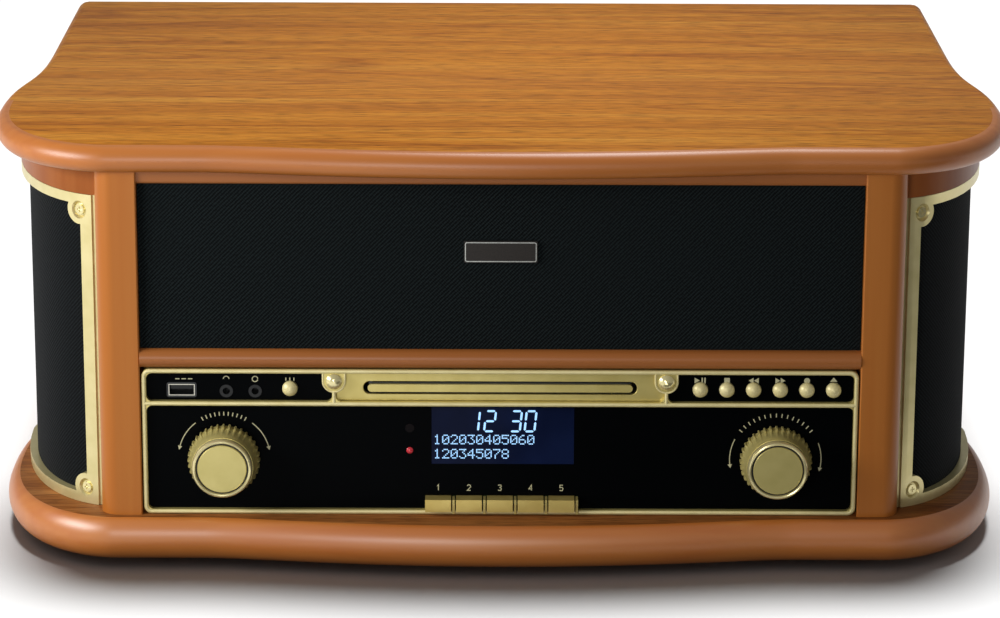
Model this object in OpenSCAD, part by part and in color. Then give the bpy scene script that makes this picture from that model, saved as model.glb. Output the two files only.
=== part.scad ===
// Stereo music centre: wooden case with a hinged lid, record deck, disc drawer and radio panel.
// Millimetres. X is to the right, Y to the back, Z up. The origin is on the table, under the middle.

/* [Case] */
// Width of the lid's flat top at the hips, inside the rolled edge
crest_w = 503; // [500:1:520]
// Width of the lid's flat top along its straight back
back_w = 479; // [470:1:486]
// Depth from the front of the posts to the back edge
case_d = 359; // [352:1:372]
// Height of the case between base and lid
case_h = 177.4; // [176:0.1:190]
// Length of the front's straight part between the corner curves
front_w = 404; // [396:1:410]
// How far the middle of the front bows out
bow_d = 12; // [4:0.5:18]
// Length of the bowed part of the front
bow_w = 296; // [240:1:320]
// Distance of the widest place behind the posts
hip_y = 91; // [84:1:100]
// Distance of the narrow waist behind the posts
waist_y = 228; // [220:1:240]

/* [Lid] */
// Thickness of the lid
lid_t = 13; // [10:0.5:18]
// How far the lid's rolled edge stands out past its flat top
lid_nose = 6; // [3:0.5:8]
// Gap between the case and the closed lid
lid_gap = 0.6; // [0.4:0.1:2]
// How far the lid opens, in degrees
lid_open = 62; // [40:1:66]

/* [Base] */
// Thickness of the base board
base_t = 22; // [16:0.5:28]
// How far the base's rolled edge stands out past its flat top
base_nose = 5.5; // [3:0.5:8]
// How far the base's flat top runs in front of the posts
base_step = 4.5; // [3:0.5:9]
// Height of a rubber foot
foot_h = 5; // [3:0.5:12]
// Diameter of a rubber foot
foot_d = 28; // [18:1:36]

/* [Front posts and rails] */
// Outer width between the two posts' outer sides
posts_w = 401.6; // [398:0.2:406]
// Width of a post
post_w = 21.1; // [16:0.1:24]
// Depth of a post
post_d = 24; // [22:0.5:30]
// Radius of a post's outer front edge
post_r = 9; // [4:0.5:12]
// Height of the upper rail
upper_rail_h = 6.5; // [5:0.1:9]
// Height of the half-round middle rail
middle_rail_h = 9.7; // [8:0.1:11]
// Depth of the rails
rail_d = 10; // [8:0.5:14]

/* [Front grille] */
// How far the cloth lies behind the posts' front
grille_set = 4; // [3:0.1:6]
// Thickness of the cloth-covered board
grille_t = 4; // [3:0.1:6]
// Width of the blank name plate
plate_w = 36.4; // [20:0.2:50]
// Height of the blank name plate
plate_h = 11; // [6:0.2:16]
// Thickness of the blank name plate
plate_t = 1.5; // [1:0.1:2.5]

/* [Side walls] */
// Inset of the side wall from the edge of the lid's flat top
side_in = 2.5; // [2:0.1:8]
// Distance of the wall's widest place behind the posts
side_hip_y = 125; // [118:1:130]
// Thickness of the side wall
wall_t = 12; // [10:0.1:15]
// Height of the wooden band above the side grille
apron_h = 15.2; // [10:0.1:24]
// Depth of the recess for the side cloth and its frame
recess_d = 4.8; // [4:0.1:6]
// Thickness of the side cloth
cloth_t = 0.8; // [0.5:0.1:1.2]
// Where the side wall meets the post, behind its front
side_y = 13.5; // [12:0.1:16]
// Where the side grille ends at the back
grille_end_y = 214; // [206:1:218]
// Width of the ledge that carries the deck
ledge_w = 10; // [6:0.5:16]
// Height of that ledge
ledge_h = 10; // [6:0.5:16]

/* [Side frames] */
// Height of the frame's top and bottom strips
strip_h = 5.3; // [4:0.1:8]
// Width of the frame's upright strips
strip_w = 8.3; // [6:0.1:10]
// Width of the lower ledge beside the post
frame_ledge = 2.4; // [1:0.1:4]
// How far that ledge lies behind the frame's face
frame_step = 1.1; // [0.5:0.1:2]
// Radius of a screw lobe
lobe_r = 7.3; // [6:0.1:8.5]
// Distance of a lobe's middle from the frame's top or bottom edge
lobe_drop = 8.4; // [6:0.1:12]
// Radius of a lobe's round recess
lobe_recess_r = 4.6; // [3.5:0.1:5.5]
// Depth of a lobe's round recess
lobe_recess_d = 1.8; // [1:0.1:2.4]
// Radius of the trim screws' shanks
screw_r = 1.4; // [1:0.1:1.8]
// Length of the trim screws' shanks
screw_len = 9; // [6:0.5:11]

/* [Control panel] */
// Gap between the brass bezel and a post
bezel_gap = 0.7; // [0.3:0.1:2]
// Height of the brass bezel
bezel_h = 75.9; // [74:0.1:76.4]
// Width of the bezel's rails
bezel_rail = 2.2; // [1.6:0.1:3]
// Depth of the bezel
bezel_d = 9; // [7:0.1:11]
// How far the bezel lies behind the posts' front
bezel_set = 1.5; // [0:0.1:3]
// Height of the divider rail above the bezel's lower edge
divider_up = 56.8; // [54:0.1:58]
// How far the black panel lies behind the bezel's front
fascia_set = 2.8; // [2:0.1:4]
// Thickness of the black panel
fascia_t = 2.5; // [2:0.1:3.5]
// Distance of the bezel's lobes and bars from the middle
lobe_x = 83; // [80:0.1:86]
// Radius of the bezel's two lobes
bezel_lobe_r = 6; // [5:0.1:7]
// Radius of the domed studs
stud_r = 4; // [3:0.1:4.8]

/* [Disc drawer] */
// Length of the slot in the disc plate
slot_w = 136.8; // [134:0.2:142]
// Height of the slot in the disc plate
slot_h = 6.7; // [6.2:0.1:8]
// Height of the slot's middle above the bezel's lower edge
slot_up = 65.7; // [64:0.1:67]
// Length of the drawer's front bar
bar_w = 132.4; // [124:0.2:133]
// Height of the drawer's front bar
bar_h = 3.9; // [3:0.1:5]
// Width of the drawer
tray_w = 128; // [124:0.5:130]
// Length of the drawer
tray_len = 156; // [150:1:170]
// Thickness of the drawer
tray_t = 5.4; // [4.6:0.1:5.8]
// Diameter of the drawer's disc recess
disc_d = 121; // [120.5:0.1:122]
// How far the drawer slides out
tray_out = 130; // [100:1:134]

/* [Buttons and keys] */
// Places across the panel are given for a bezel 358 mm wide and follow its real width.
// Diameter of a round button
button_d = 7.6; // [6:0.1:8.6]
// Distance from one transport button to the next
button_pitch = 13.33; // [12.8:0.01:13.4]
// Distance of the first transport button from the middle
button_x = 100; // [99:0.1:102]
// Height of the round buttons above the bezel's lower edge
button_up = 65.3; // [64:0.1:66.5]
// Distance of the function button from the middle
function_x = -105.1; // [-107:0.1:-100]
// Width of a key
key_w = 13; // [11:0.1:13.6]
// Height of a key
key_h = 6.4; // [5:0.1:7]
// Distance from one key to the next
key_pitch = 15.5; // [15.2:0.1:16.5]
// How far the keys stand in front of the black panel
key_out = 7.1; // [4:0.1:9]
// How far a button or key travels
press = 1; // [0.5:0.1:1]

/* [Knobs] */
// Radius of a knob's ridged skirt, without its ridges
knob_r = 17.2; // [15:0.1:18]
// Radius of a knob's front rim
knob_rim_r = 15.2; // [13:0.1:16]
// Length of a knob
knob_len = 18.4; // [14:0.1:22]
// Number of ridges round a knob
ridges = 36; // [24:2:48]
// Height of a ridge
ridge_h = 0.9; // [0.5:0.1:1.2]
// Distance of the knobs from the middle
knob_x = 138.4; // [136:0.1:140]
// Height of the knobs above the bezel's lower edge
knob_up = 28.8; // [26:0.1:31]
// Radius of a knob's shaft
shaft_r = 3; // [2.5:0.1:4]

/* [Display and sockets] */
// Width of the display window
display_w = 71.4; // [60:0.2:76]
// Height of the display window
display_h = 29.8; // [24:0.2:30.2]
// Distance of the display's middle from the case's middle
display_x = 1.4; // [-2:0.1:4]
// Height of the display window's lower edge above the bezel's lower edge
display_up = 25.8; // [24:0.1:26.4]
// Distance of the sensor and the lamp from the middle
lamp_x = -45.3; // [-50:0.1:-44]
// Diameter of the remote sensor's window
sensor_d = 4.5; // [3.5:0.1:6]
// Diameter of the power lamp
lamp_d = 3.4; // [2.5:0.1:5]
// Distance of the memory-stick socket from the middle
usb_x = -159.2; // [-162:0.1:-155]
// Distances of the two jack sockets from the middle
jack_xs = [-136.9, -122.5];
// Diameter of a jack's collar
jack_d = 6.6; // [5.6:0.1:8]
// Diameter of a jack's bore
jack_bore = 3.6; // [3.5:0.05:3.7]

/* [Record deck] */
// Height of the deck's top above the base
deck_up = 133; // [128:0.5:140]
// Thickness of the deck plate
deck_t = 4; // [3:0.5:6]
// Distance of the platter's middle from the case's middle
platter_x = -40; // [-44:1:-36]
// Distance of the platter's middle behind the posts' front
platter_y = 182; // [178:1:186]
// Diameter of the platter
platter_d = 280; // [260:1:290]
// Height of the platter's rim
platter_h = 11; // [8:0.5:13]
// Gap between deck and platter
platter_gap = 3; // [2:0.5:5]
// Thickness of the platter mat
mat_t = 2; // [1:0.1:3]
// Diameter of the spindle
spindle_d = 7.2; // [7.1:0.01:7.24]
// Radius of the platter's belt ring
belt_ring_r = 55; // [45:1:65]
// Radius of the motor pulley
pulley_r = 6; // [4:0.1:8]
// Distance between platter and motor axes
belt_span = 92; // [85:1:100]
// Distance of the arm's pivot from the case's middle
arm_x = 125; // [120:1:128]
// Distance of the arm's pivot behind the posts' front
arm_y = 297; // [290:1:300]
// Distance from the arm's pivot to the stylus
arm_len = 216; // [205:1:222]
// Diameter of the arm tube
arm_d = 8; // [6:0.1:9]

/* [Fits] */
// Radial clearance of shafts and pins in their bores
run_fit = 0.06; // [0.04:0.01:0.1]
// Clearance round pieces that slide or drop into place
fit = 0.3; // [0.2:0.05:0.4]

/* [Hidden] */
$fn = 64;
TRANSPORT = ["play", "stop", "back", "forward", "record", "open"];
KEYS = 5;

// colours
WOOD = "#b0702f";
WOOD_EDGE = "#a8622c";
BRASS = "#b7a560";
BLACK = "#0b0d10";
CLOTH = "#15191c";
STEEL = "#b9bcc0";
BOARD = "#1f5a34";
RUBBER = "#1c1c1c";
SCREEN = "#1a2338";

// heights
base_z = foot_h + base_t;
case_z = base_z + case_h;
lid_z = case_z + lid_gap;
deck_z = base_z + deck_up;
// hinge line
barrel_r = 3;
pin_r = 1.5;
hinge_back = barrel_r + 0.5;
hinge_y = case_d + hinge_back;
hinge_z = lid_z - 1;
// the drawing has the posts' front at Y = 0; this puts the middle of the outer box over the origin
front_out = base_step + base_nose + bow_d;
front_y = (front_out - (hinge_y + barrel_r)) / 2;
// posts and rails
post_out = posts_w / 2;
post_in = post_out - post_w;
rail_y = 2;
rail_back = rail_y + rail_d + 2;
middle_z = base_z + bezel_h + fit + 0.4;
grille_z0 = middle_z + middle_rail_h;
grille_z1 = case_z - upper_rail_h;
// back panel
panel_t = 6;
wall_end_y = case_d - 3;
panel_y = wall_end_y - panel_t;
// control panel
bezel_w = 2 * (post_in - bezel_gap);
panel_k = bezel_w / 358;
knob_at = knob_x * panel_k;
button_at = button_x * panel_k;
button_step = button_pitch * panel_k;
function_at = function_x * panel_k;
lobe_at = lobe_x * panel_k;
usb_at = usb_x * panel_k;
jack_ats = jack_xs * panel_k;
bezel_z = base_z + fit;
fascia_y = bezel_set + fascia_set;
fascia_back = fascia_y + fascia_t;
opening_r = 3;
divider_z = bezel_z + divider_up;
knob_z = bezel_z + knob_up;
button_z = bezel_z + button_up;
slot_z = bezel_z + slot_up;
key_z0 = bezel_z + bezel_rail + fit;
key_mid = [for (i = [0 : KEYS - 1]) (i - (KEYS - 1) / 2) * key_pitch];
board_y = fascia_back + 7.2;
board_t = 1.6;
flange_t = 1.2;
stem_end = board_y - 4;
knob_back = fascia_y - 1.3;
tray_y0 = fascia_y + 1;
disc_y = tray_y0 + 7.5 + disc_d / 2;
// deck
platter_z = deck_z + platter_gap;
mat_z = platter_z + platter_h;
record_z = mat_z + mat_t;
// the needle stands at the height of a record's face
stylus_z = record_z + 1.8;
pitch_z = record_z + 13;
gimbal_z = deck_z + 8;
arm_clear = 0.3;
cue_reach = 35;
lift_t = 2.5;
lift_z = pitch_z - arm_d / 2 - arm_clear - lift_t;
motor_turn = 225;
motor_x = platter_x + belt_span * cos(motor_turn);
motor_y = platter_y + belt_span * sin(motor_turn);
// lid stay: its lid pivot and its case pin lie at the same distance from the hinge line
stay_r = 118;
stay_turn0 = 3.2;
stay_turn = 12;
stay_x = -(back_w / 2 - side_in - wall_t - ledge_w - 4);
stay_bar_t = 2.5;
stay_pin_r = 2.5;
function from_hinge(r, a) = [hinge_y - r * cos(a), hinge_z - r * sin(a)];
stay_lid = from_hinge(stay_r, stay_turn0);
stay_case = from_hinge(stay_r, stay_turn0 + stay_turn);
stay_reach = 2 * stay_r * sin((stay_turn + lid_open) / 2);

module in_case() translate([0, front_y, 0]) children();
module both_sides() { children(); mirror([1, 0, 0]) children(); }
// a cylinder along Y from y0 to y1, or along X from x0 to x1
module rod_y(x, z, r, y0, y1) translate([x, y0, z]) rotate([-90, 0, 0]) cylinder(h = y1 - y0, r = r);
module rod_x(x0, x1, y, z, r) translate([x0, y, z]) rotate([0, 90, 0]) cylinder(h = x1 - x0, r = r);
module block(x0, x1, y0, y1, z0, z1) translate([x0, y0, z0]) cube([x1 - x0, y1 - y0, z1 - z0]);
// a plate with round corners that faces the front
module panel(x0, x1, z0, z1, r, y0, y1) {
  translate([0, y1, 0]) rotate([90, 0, 0]) linear_extrude(height = y1 - y0) {
    translate([x0 + r, z0]) square([x1 - x0 - 2 * r, z1 - z0]);
    translate([x0, z0 + r]) square([x1 - x0, z1 - z0 - 2 * r]);
    for (x = [x0 + r, x1 - r], z = [z0 + r, z1 - r]) translate([x, z]) circle(r = r);
  }
}

// plan curves: chains of cubic curves from the back to the front, on the right half
function bez(p, t) = let (u = 1 - t)
  u * u * u * p[0] + 3 * u * u * t * p[1] + 3 * u * t * t * p[2] + t * t * t * p[3];
function bez_dir(p, t) = let (u = 1 - t, d = u * u * (p[1] - p[0]) + 2 * u * t * (p[2] - p[1]) + t * t * (p[3] - p[2]))
  d / norm(d);
function out_dir(p, t) = let (d = bez_dir(p, t)) [-d[1], d[0]];
function at_offset(p, t, out) = bez(p, t) + out * out_dir(p, t);
function line_of(a, b) = [a, a + (b - a) / 3, b - (b - a) / 3, b];
function chain(curves, steps, out) = concat(
  [for (k = [0 : len(curves) - 1]) for (i = [0 : steps[k] - 1]) at_offset(curves[k], i / steps[k], out)],
  [at_offset(curves[len(curves) - 1], 1, out)]);
function reversed(v) = [for (i = [len(v) - 1 : -1 : 0]) v[i]];
function mirrored(v) = [for (p = v) [-p[0], p[1]]];

// the outline of lid and base: straight back, waist, hip, round corner, straight front and bow
hip_lead = 62;
waist_lead = 88;
corner_rise = 14;
corner_lead = 2;
bow_lead = 22;
bow_top = 75;
function slab_curves(front) = let (back = back_w / 2, hip = crest_w / 2, flat = front_w / 2) [
  line_of([back, case_d], [back, waist_y]),
  [[back, waist_y], [back, waist_y - waist_lead], [hip, hip_y + hip_lead], [hip, hip_y]],
  [[hip, hip_y], [hip, front + corner_rise], [flat + corner_lead, front], [flat, front]],
  line_of([flat, front], [bow_w / 2, front]),
  [[bow_w / 2, front], [bow_w / 2 - bow_lead, front], [bow_top, front - bow_d], [0, front - bow_d]]];
SLAB_STEPS = [1, 12, 16, 1, 10];
function slab_ring(front, out) = let (half = chain(slab_curves(front), SLAB_STEPS, out), n = len(half))
  concat(half, mirrored(reversed([for (i = [0 : n - 2]) half[i]])));

// a slab with that outline and a rolled edge, from angle a_top down to a_low of its round profile
module slab(front, z0, t, nose, a_top, a_low) {
  layers = 8;
  rings = [for (k = [0 : layers]) let (a = a_low + (a_top - a_low) * k / layers)
    [z0 + t * (sin(a) - sin(a_low)) / (sin(a_top) - sin(a_low)), nose * (cos(a) - cos(a_top)) / (1 - cos(a_top))]];
  n = len(slab_ring(front, 0));
  points = [for (r = rings) for (p = slab_ring(front, r[1])) [p[0], min(p[1], case_d), r[0]]];
  low = [for (i = [0 : n - 1]) i];
  high = [for (i = [n - 1 : -1 : 0]) layers * n + i];
  sides = [for (k = [0 : layers - 1]) for (i = [0 : n - 1]) let (a = k * n + i, b = k * n + (i + 1) % n)
    each [[a, a + n, b], [b, a + n, b + n]]];
  polyhedron(points = points, faces = concat([low, high], sides));
}

// the side wall's plan curve, set in from the lid's outline and turning in to the post
side_lead = 70;
side_hip_lead = 15;
side_waist_lead = 80;
side_corner = [23, 7.5];
function side_curves() = let (back = back_w / 2 - side_in, hip = crest_w / 2 - side_in) [
  line_of([back, wall_end_y], [back, waist_y]),
  [[back, waist_y], [back, waist_y - side_waist_lead], [hip, side_hip_y + side_hip_lead], [hip, side_hip_y]],
  [[hip, side_hip_y], [hip, side_hip_y - side_lead], [post_out, side_y] + side_corner, [post_out, side_y]]];
SIDE_STEPS = [1, 10, 14];
function side_line(out) = chain(side_curves(), SIDE_STEPS, out);
// an upright band that follows the right side between two offsets, clear of the post
module side_band(outer, inner, z0, z1, y_end = wall_end_y) {
  intersection() {
    translate([0, 0, z0]) linear_extrude(height = z1 - z0)
      polygon(concat(side_line(outer), reversed(side_line(inner))));
    block(post_out + 0.1, crest_w, -10, y_end, z0 - 1, z1 + 1);
  }
}
frame_z0 = base_z + 0.2;
frame_z1 = case_z - apron_h;
frame_in = cloth_t - recess_d;
front_lobe_t = 0.87;
rear_lobe_t = 0.11;
lobe_zs = [frame_z0 + lobe_drop, frame_z1 - lobe_drop];
// puts its children at a lobe, with Z along the outward normal and the curve's face at Z = 0
module at_lobe(curve, t, z) {
  p = bez(side_curves()[curve], t);
  d = out_dir(side_curves()[curve], t);
  translate([p[0], p[1], z]) rotate([0, 0, atan2(d[1], d[0])]) rotate([0, 90, 0]) children();
}
module at_lobes() for (z = lobe_zs) {
  at_lobe(2, front_lobe_t, z) children();
  at_lobe(1, rear_lobe_t, z) children();
}
screw_hole_r = screw_r + 0.1;
module screw_holes() at_lobes() translate([0, 0, -screw_len - 1 - lobe_recess_d]) cylinder(h = screw_len + 10, r = screw_hole_r);

module base_board() {
  color(WOOD) in_case() slab(-base_step, foot_h, base_t, base_nose, 60, -70);
}

foot_x = 186;
foot_ys = [30, 318];
module feet() {
  color(RUBBER) in_case() for (x = [-foot_x, foot_x], y = foot_ys) translate([x, y, 0]) difference() {
    rotate_extrude() polygon([[0, 0], [foot_d / 2 - 1.5, 0], [foot_d / 2, foot_h * 0.4], [foot_d / 2 - 1, foot_h], [0, foot_h]]);
    translate([0, 0, -1]) cylinder(h = foot_h / 2 + 1, r = foot_d / 5);
  }
}

speaker_y = 118;
speaker_z = base_z + 70;
speaker_hole_r = 44;
speaker_seat = crest_w / 2 - side_in - wall_t - 13;
module side_wall() {
  difference() {
    union() {
      side_band(0, -wall_t, frame_z1, case_z);
      side_band(-recess_d, -wall_t, base_z, frame_z1 + 0.01);
      difference() {
        side_band(0, -wall_t, base_z, frame_z1 + 0.01);
        block(0, crest_w, -10, grille_end_y, base_z - 1, frame_z1 + 1);
      }
      // ledge that carries the deck
      intersection() {
        side_band(-wall_t + 0.01, -wall_t - ledge_w, deck_z - deck_t - ledge_h, deck_z - deck_t);
        block(0, crest_w, post_d + 14, panel_y - fit, base_z, case_z);
      }
      // flat seat for the loudspeaker
      intersection() {
        rod_x(speaker_seat, crest_w / 2, speaker_y, speaker_z, speaker_hole_r + 12);
        translate([0, 0, base_z]) linear_extrude(height = case_h)
          polygon(concat(side_line(-recess_d - 0.5), [[0, 0], [0, wall_end_y]]));
      }
    }
    rod_x(speaker_seat - 1, crest_w / 2, speaker_y, speaker_z, speaker_hole_r);
    screw_holes();
  }
}
module side_wall_right() color(WOOD) in_case() side_wall();
module side_wall_left() color(WOOD) in_case() mirror([1, 0, 0]) side_wall();

module post() {
  translate([0, 0, base_z]) linear_extrude(height = case_h) difference() {
    union() {
      translate([post_in, 0]) square([post_w - post_r, post_d]);
      translate([post_in, post_r]) square([post_w, post_d - post_r]);
      translate([post_out - post_r, post_r]) circle(r = post_r);
    }
  }
}
module rail(z0, z1) block(-post_in, post_in, rail_y, rail_back, z0, z1);
module front_frame() color(WOOD_EDGE) in_case() {
  both_sides() post();
  // upper rail with a rounded lower lip
  difference() {
    union() {
      block(-post_in, post_in, rail_y + 3, rail_back, grille_z1, case_z);
      block(-post_in, post_in, rail_y, rail_back, grille_z1 + 2, case_z);
      rod_x(-post_in, post_in, rail_y + 2, grille_z1 + 2, 2);
    }
  }
  // half-round middle rail
  union() {
    block(-post_in, post_in, grille_set, rail_back, middle_z, grille_z0);
    rod_x(-post_in, post_in, grille_set, middle_z + middle_rail_h / 2, middle_rail_h / 2);
  }
}

module front_grille() color(CLOTH) in_case()
  block(-post_in + fit, post_in - fit, grille_set, grille_set + grille_t, grille_z0, grille_z1);

plate_z = (grille_z0 + grille_z1) / 2 + 8.2;
module name_plate() color(BLACK) in_case()
  panel(-plate_w / 2, plate_w / 2, plate_z - plate_h / 2, plate_z + plate_h / 2, 0.8, grille_set - plate_t, grille_set);

module side_cloths() color(CLOTH) in_case() both_sides() difference() {
  side_band(frame_in, -recess_d, frame_z0, frame_z1 - 0.2, grille_end_y - fit);
  screw_holes();
}

module side_frames() color(BRASS) in_case() both_sides() difference() {
  union() {
    side_band(0, frame_in, frame_z0, frame_z0 + strip_h, grille_end_y - fit);
    side_band(0, frame_in, frame_z1 - strip_h, frame_z1 - 0.2, grille_end_y - fit);
    intersection() {
      side_band(0, frame_in, frame_z0, frame_z1 - 0.2, grille_end_y - fit);
      union() {
        block(0, post_out + strip_w, -10, wall_end_y / 2, base_z, case_z);
        block(0, crest_w, grille_end_y - strip_w, grille_end_y, base_z, case_z);
        at_lobes() translate([0, 0, -2 * recess_d]) cylinder(h = 4 * recess_d, r = lobe_r);
      }
    }
  }
  at_lobes() {
    translate([0, 0, -lobe_recess_d]) cylinder(h = lobe_recess_d + 0.01, r1 = lobe_recess_r * 0.72, r2 = lobe_recess_r);
    cylinder(h = 10, r = lobe_recess_r);
  }
  // lower ledge beside the post
  intersection() {
    side_band(1, -frame_step, base_z, case_z);
    block(post_out, post_out + frame_ledge, -10, wall_end_y / 2, base_z, case_z);
  }
  screw_holes();
}

screw_head_r = 2.6;
screw_head_h = 1.2;
module trim_screw() {
  difference() {
    translate([0, 0, -lobe_recess_d]) cylinder(h = screw_head_h, r = screw_head_r);
    for (a = [0, 90]) rotate([0, 0, a]) translate([-1.4, -0.3, screw_head_h - lobe_recess_d - 0.5]) cube([2.8, 0.6, 2]);
  }
  translate([0, 0, -screw_len - lobe_recess_d]) cylinder(h = screw_len + 0.1, r = screw_r);
}
module dome(r, h) {
  // a shallow dome of radius r and height h, with its flat side at Z = 0
  ball = (r * r + h * h) / (2 * h);
  intersection() {
    translate([0, 0, h - ball]) sphere(r = ball);
    cylinder(h = h, r = r);
  }
}
stud_z = bezel_z + bezel_h - 6.2;
stud_seat = bezel_set;
module trim_screws() color(BRASS) in_case() {
  both_sides() at_lobes() trim_screw();
  both_sides() translate([lobe_at, stud_seat, stud_z]) rotate([90, 0, 0]) {
    cylinder(h = 0.8, r = stud_r);
    translate([0, 0, 0.8]) dome(stud_r, 1.9);
  }
}

cone_len = 34;
module speakers() color("#2a2a2c") in_case() both_sides()
  translate([speaker_seat, speaker_y, speaker_z]) rotate([0, -90, 0]) difference() {
    union() {
      difference() {
        cylinder(h = 2.5, r = speaker_hole_r + 8);
        translate([0, 0, -1]) cylinder(h = 5, r = speaker_hole_r - 2);
      }
      // cone and basket
      rotate_extrude() polygon([[10, cone_len - 8], [speaker_hole_r - 2, 0], [speaker_hole_r + 0.5, 0],
        [speaker_hole_r + 0.5, 2.5], [26, cone_len], [10, cone_len]]);
      translate([0, 0, cone_len - 8]) dome(11, 4);
      translate([0, 0, cone_len]) cylinder(h = 14, r = 31);
      translate([0, 0, cone_len - 8]) cylinder(h = 10, r = 11);
    }
    translate([0, 0, -10]) cylinder(h = 10, r = 60);
  }

panel_half = back_w / 2 - side_in - wall_t - fit;
inlet_x = 170;
inlet_z = base_z + 24;
line_xs = [-150, -132];
line_z = base_z + 24;
aerial_x = -90;
module back_panel() color("#2b211a") in_case() difference() {
  block(-panel_half, panel_half, panel_y, wall_end_y, base_z, case_z);
  block(inlet_x - 10.3, inlet_x + 10.3, panel_y - 1, wall_end_y + 1, inlet_z - 8.3, inlet_z + 8.3);
  for (x = line_xs) rod_y(x, line_z, 5.3, panel_y - 1, wall_end_y + 1);
  rod_y(aerial_x, line_z, 5.3, panel_y - 1, wall_end_y + 1);
  // vent slots behind the power supply
  for (i = [0 : 6]) block(60 + i * 9, 64 + i * 9, panel_y - 1, wall_end_y + 1, base_z + 60, base_z + 100);
}

line_bore_r = 1.7;
module line_socket(x) {
  difference() {
    union() {
      rod_y(x, line_z, 5, panel_y - 8, wall_end_y + 1);
      rod_y(x, line_z, 7, panel_y - 8, panel_y);
      rod_y(x, line_z, 4.15, wall_end_y, wall_end_y + 8);
    }
    rod_y(x, line_z, line_bore_r, wall_end_y - 6, wall_end_y + 9);
  }
}
module rear_sockets() color(BLACK) in_case() {
  for (x = line_xs) line_socket(x);
  line_socket(aerial_x);
  // figure-of-eight mains inlet
  difference() {
    union() {
      block(inlet_x - 10, inlet_x + 10, panel_y - 12, wall_end_y + 1, inlet_z - 8, inlet_z + 8);
      block(inlet_x - 13, inlet_x + 13, panel_y - 12, panel_y, inlet_z - 10, inlet_z + 10);
    }
    for (s = [-1, 1]) rod_y(inlet_x + 3.3 * s, inlet_z, 4, wall_end_y - 11, wall_end_y + 2);
    block(inlet_x - 3.3, inlet_x + 3.3, wall_end_y - 11, wall_end_y + 2, inlet_z - 4, inlet_z + 4);
  }
  for (s = [-1, 1]) rod_y(inlet_x + 3.3 * s, inlet_z, 1.2, wall_end_y - 11.5, wall_end_y - 1);
}

rest_y = arm_y - 150;
rest_top = pitch_z - arm_d / 2 - arm_clear;
speed_x = 95;
speed_y = 50;
cue_x = arm_x + 24;
module deck_outline() {
  half = side_line(-wall_t - 0.4);
  front = post_d + 0.5;
  inner = [for (p = half) if (p[1] > front + 1 && p[1] < panel_y) [p[0], p[1]]];
  edge = concat([[half[0][0], panel_y - fit]], inner, [[post_in - fit, front], [post_in - fit, rail_back + fit]]);
  polygon(concat(edge, mirrored(reversed(edge))));
}
module deck_plate() color("#17181a") in_case() difference() {
  union() {
    translate([0, 0, deck_z - deck_t]) linear_extrude(height = deck_t) deck_outline();
    // arm rest, moulded on the deck, with an upstand on its outer side
    block(arm_x - 7, arm_x + 9, rest_y - 5, rest_y + 5, deck_z - 1, deck_z + 5);
    block(arm_x - 3, arm_x + 9, rest_y - 3, rest_y + 3, deck_z, rest_top);
    block(arm_x + arm_d / 2 + 1, arm_x + 9, rest_y - 3, rest_y + 3, deck_z, pitch_z);
  }
  translate([platter_x, platter_y, deck_z - deck_t - 1]) cylinder(h = deck_t + 2, r = 8 + 0.1);
  translate([motor_x, motor_y, deck_z - deck_t - 1]) cylinder(h = deck_t + 2, r = pulley_r + 4);
  translate([speed_x, speed_y, deck_z - deck_t - 1]) cylinder(h = deck_t + 2, r = 3 + run_fit);
  translate([arm_x, arm_y - cue_reach - 3, deck_z - deck_t - 1]) cylinder(h = deck_t + 2, r = 2.5 + run_fit);
  // slot for the lid stay
  block(stay_x - 4, stay_x + 4, stay_case[0] - 18, stay_case[0] + 24, deck_z - deck_t - 1, deck_z + 1);
}

module turntable_motor() color(STEEL) in_case() translate([motor_x, motor_y, 0]) difference() {
  union() {
    translate([0, 0, deck_z - deck_t - 26]) cylinder(h = 24, r = 16);
    translate([-22, -8, deck_z - deck_t - 2]) cube([44, 16, 2]);
  }
  translate([0, 0, deck_z - deck_t - 14]) cylinder(h = 20, r = 1 + run_fit);
}

bearing_len = 18;
// the shaft is thicker under the record than the spindle above it
platter_shaft_r = spindle_d / 2 + 0.6;
module spindle_bearing() color("#c29a4b") in_case() translate([platter_x, platter_y, 0]) difference() {
  union() {
    translate([0, 0, deck_z - deck_t - bearing_len]) cylinder(h = deck_t + bearing_len + 1.5, r = 8);
    translate([0, 0, deck_z - deck_t - 3]) cylinder(h = 3, r = 14);
  }
  translate([0, 0, deck_z - deck_t - bearing_len + 2]) cylinder(h = 60, r = platter_shaft_r + run_fit);
}

module tonearm_base() color("#202124") in_case() difference() {
  union() {
    translate([arm_x, arm_y, deck_z]) cylinder(h = gimbal_z - deck_z - fit, r = 18);
    // bracket for the cue lever
    block(cue_x - 6, cue_x + 8, arm_y - cue_reach - 8, arm_y - cue_reach + 8, deck_z, deck_z + 4);
    for (x = [cue_x - 6, cue_x + 5]) block(x, x + 3, arm_y - cue_reach - 5, arm_y - cue_reach + 5, deck_z + 3, deck_z + 17);
  }
  translate([arm_x, arm_y, deck_z + 2]) cylinder(h = 20, r = 4 + run_fit);
  rod_x(cue_x - 7, cue_x + 9, arm_y - cue_reach, deck_z + 12, 1.5 + run_fit);
}

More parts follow.
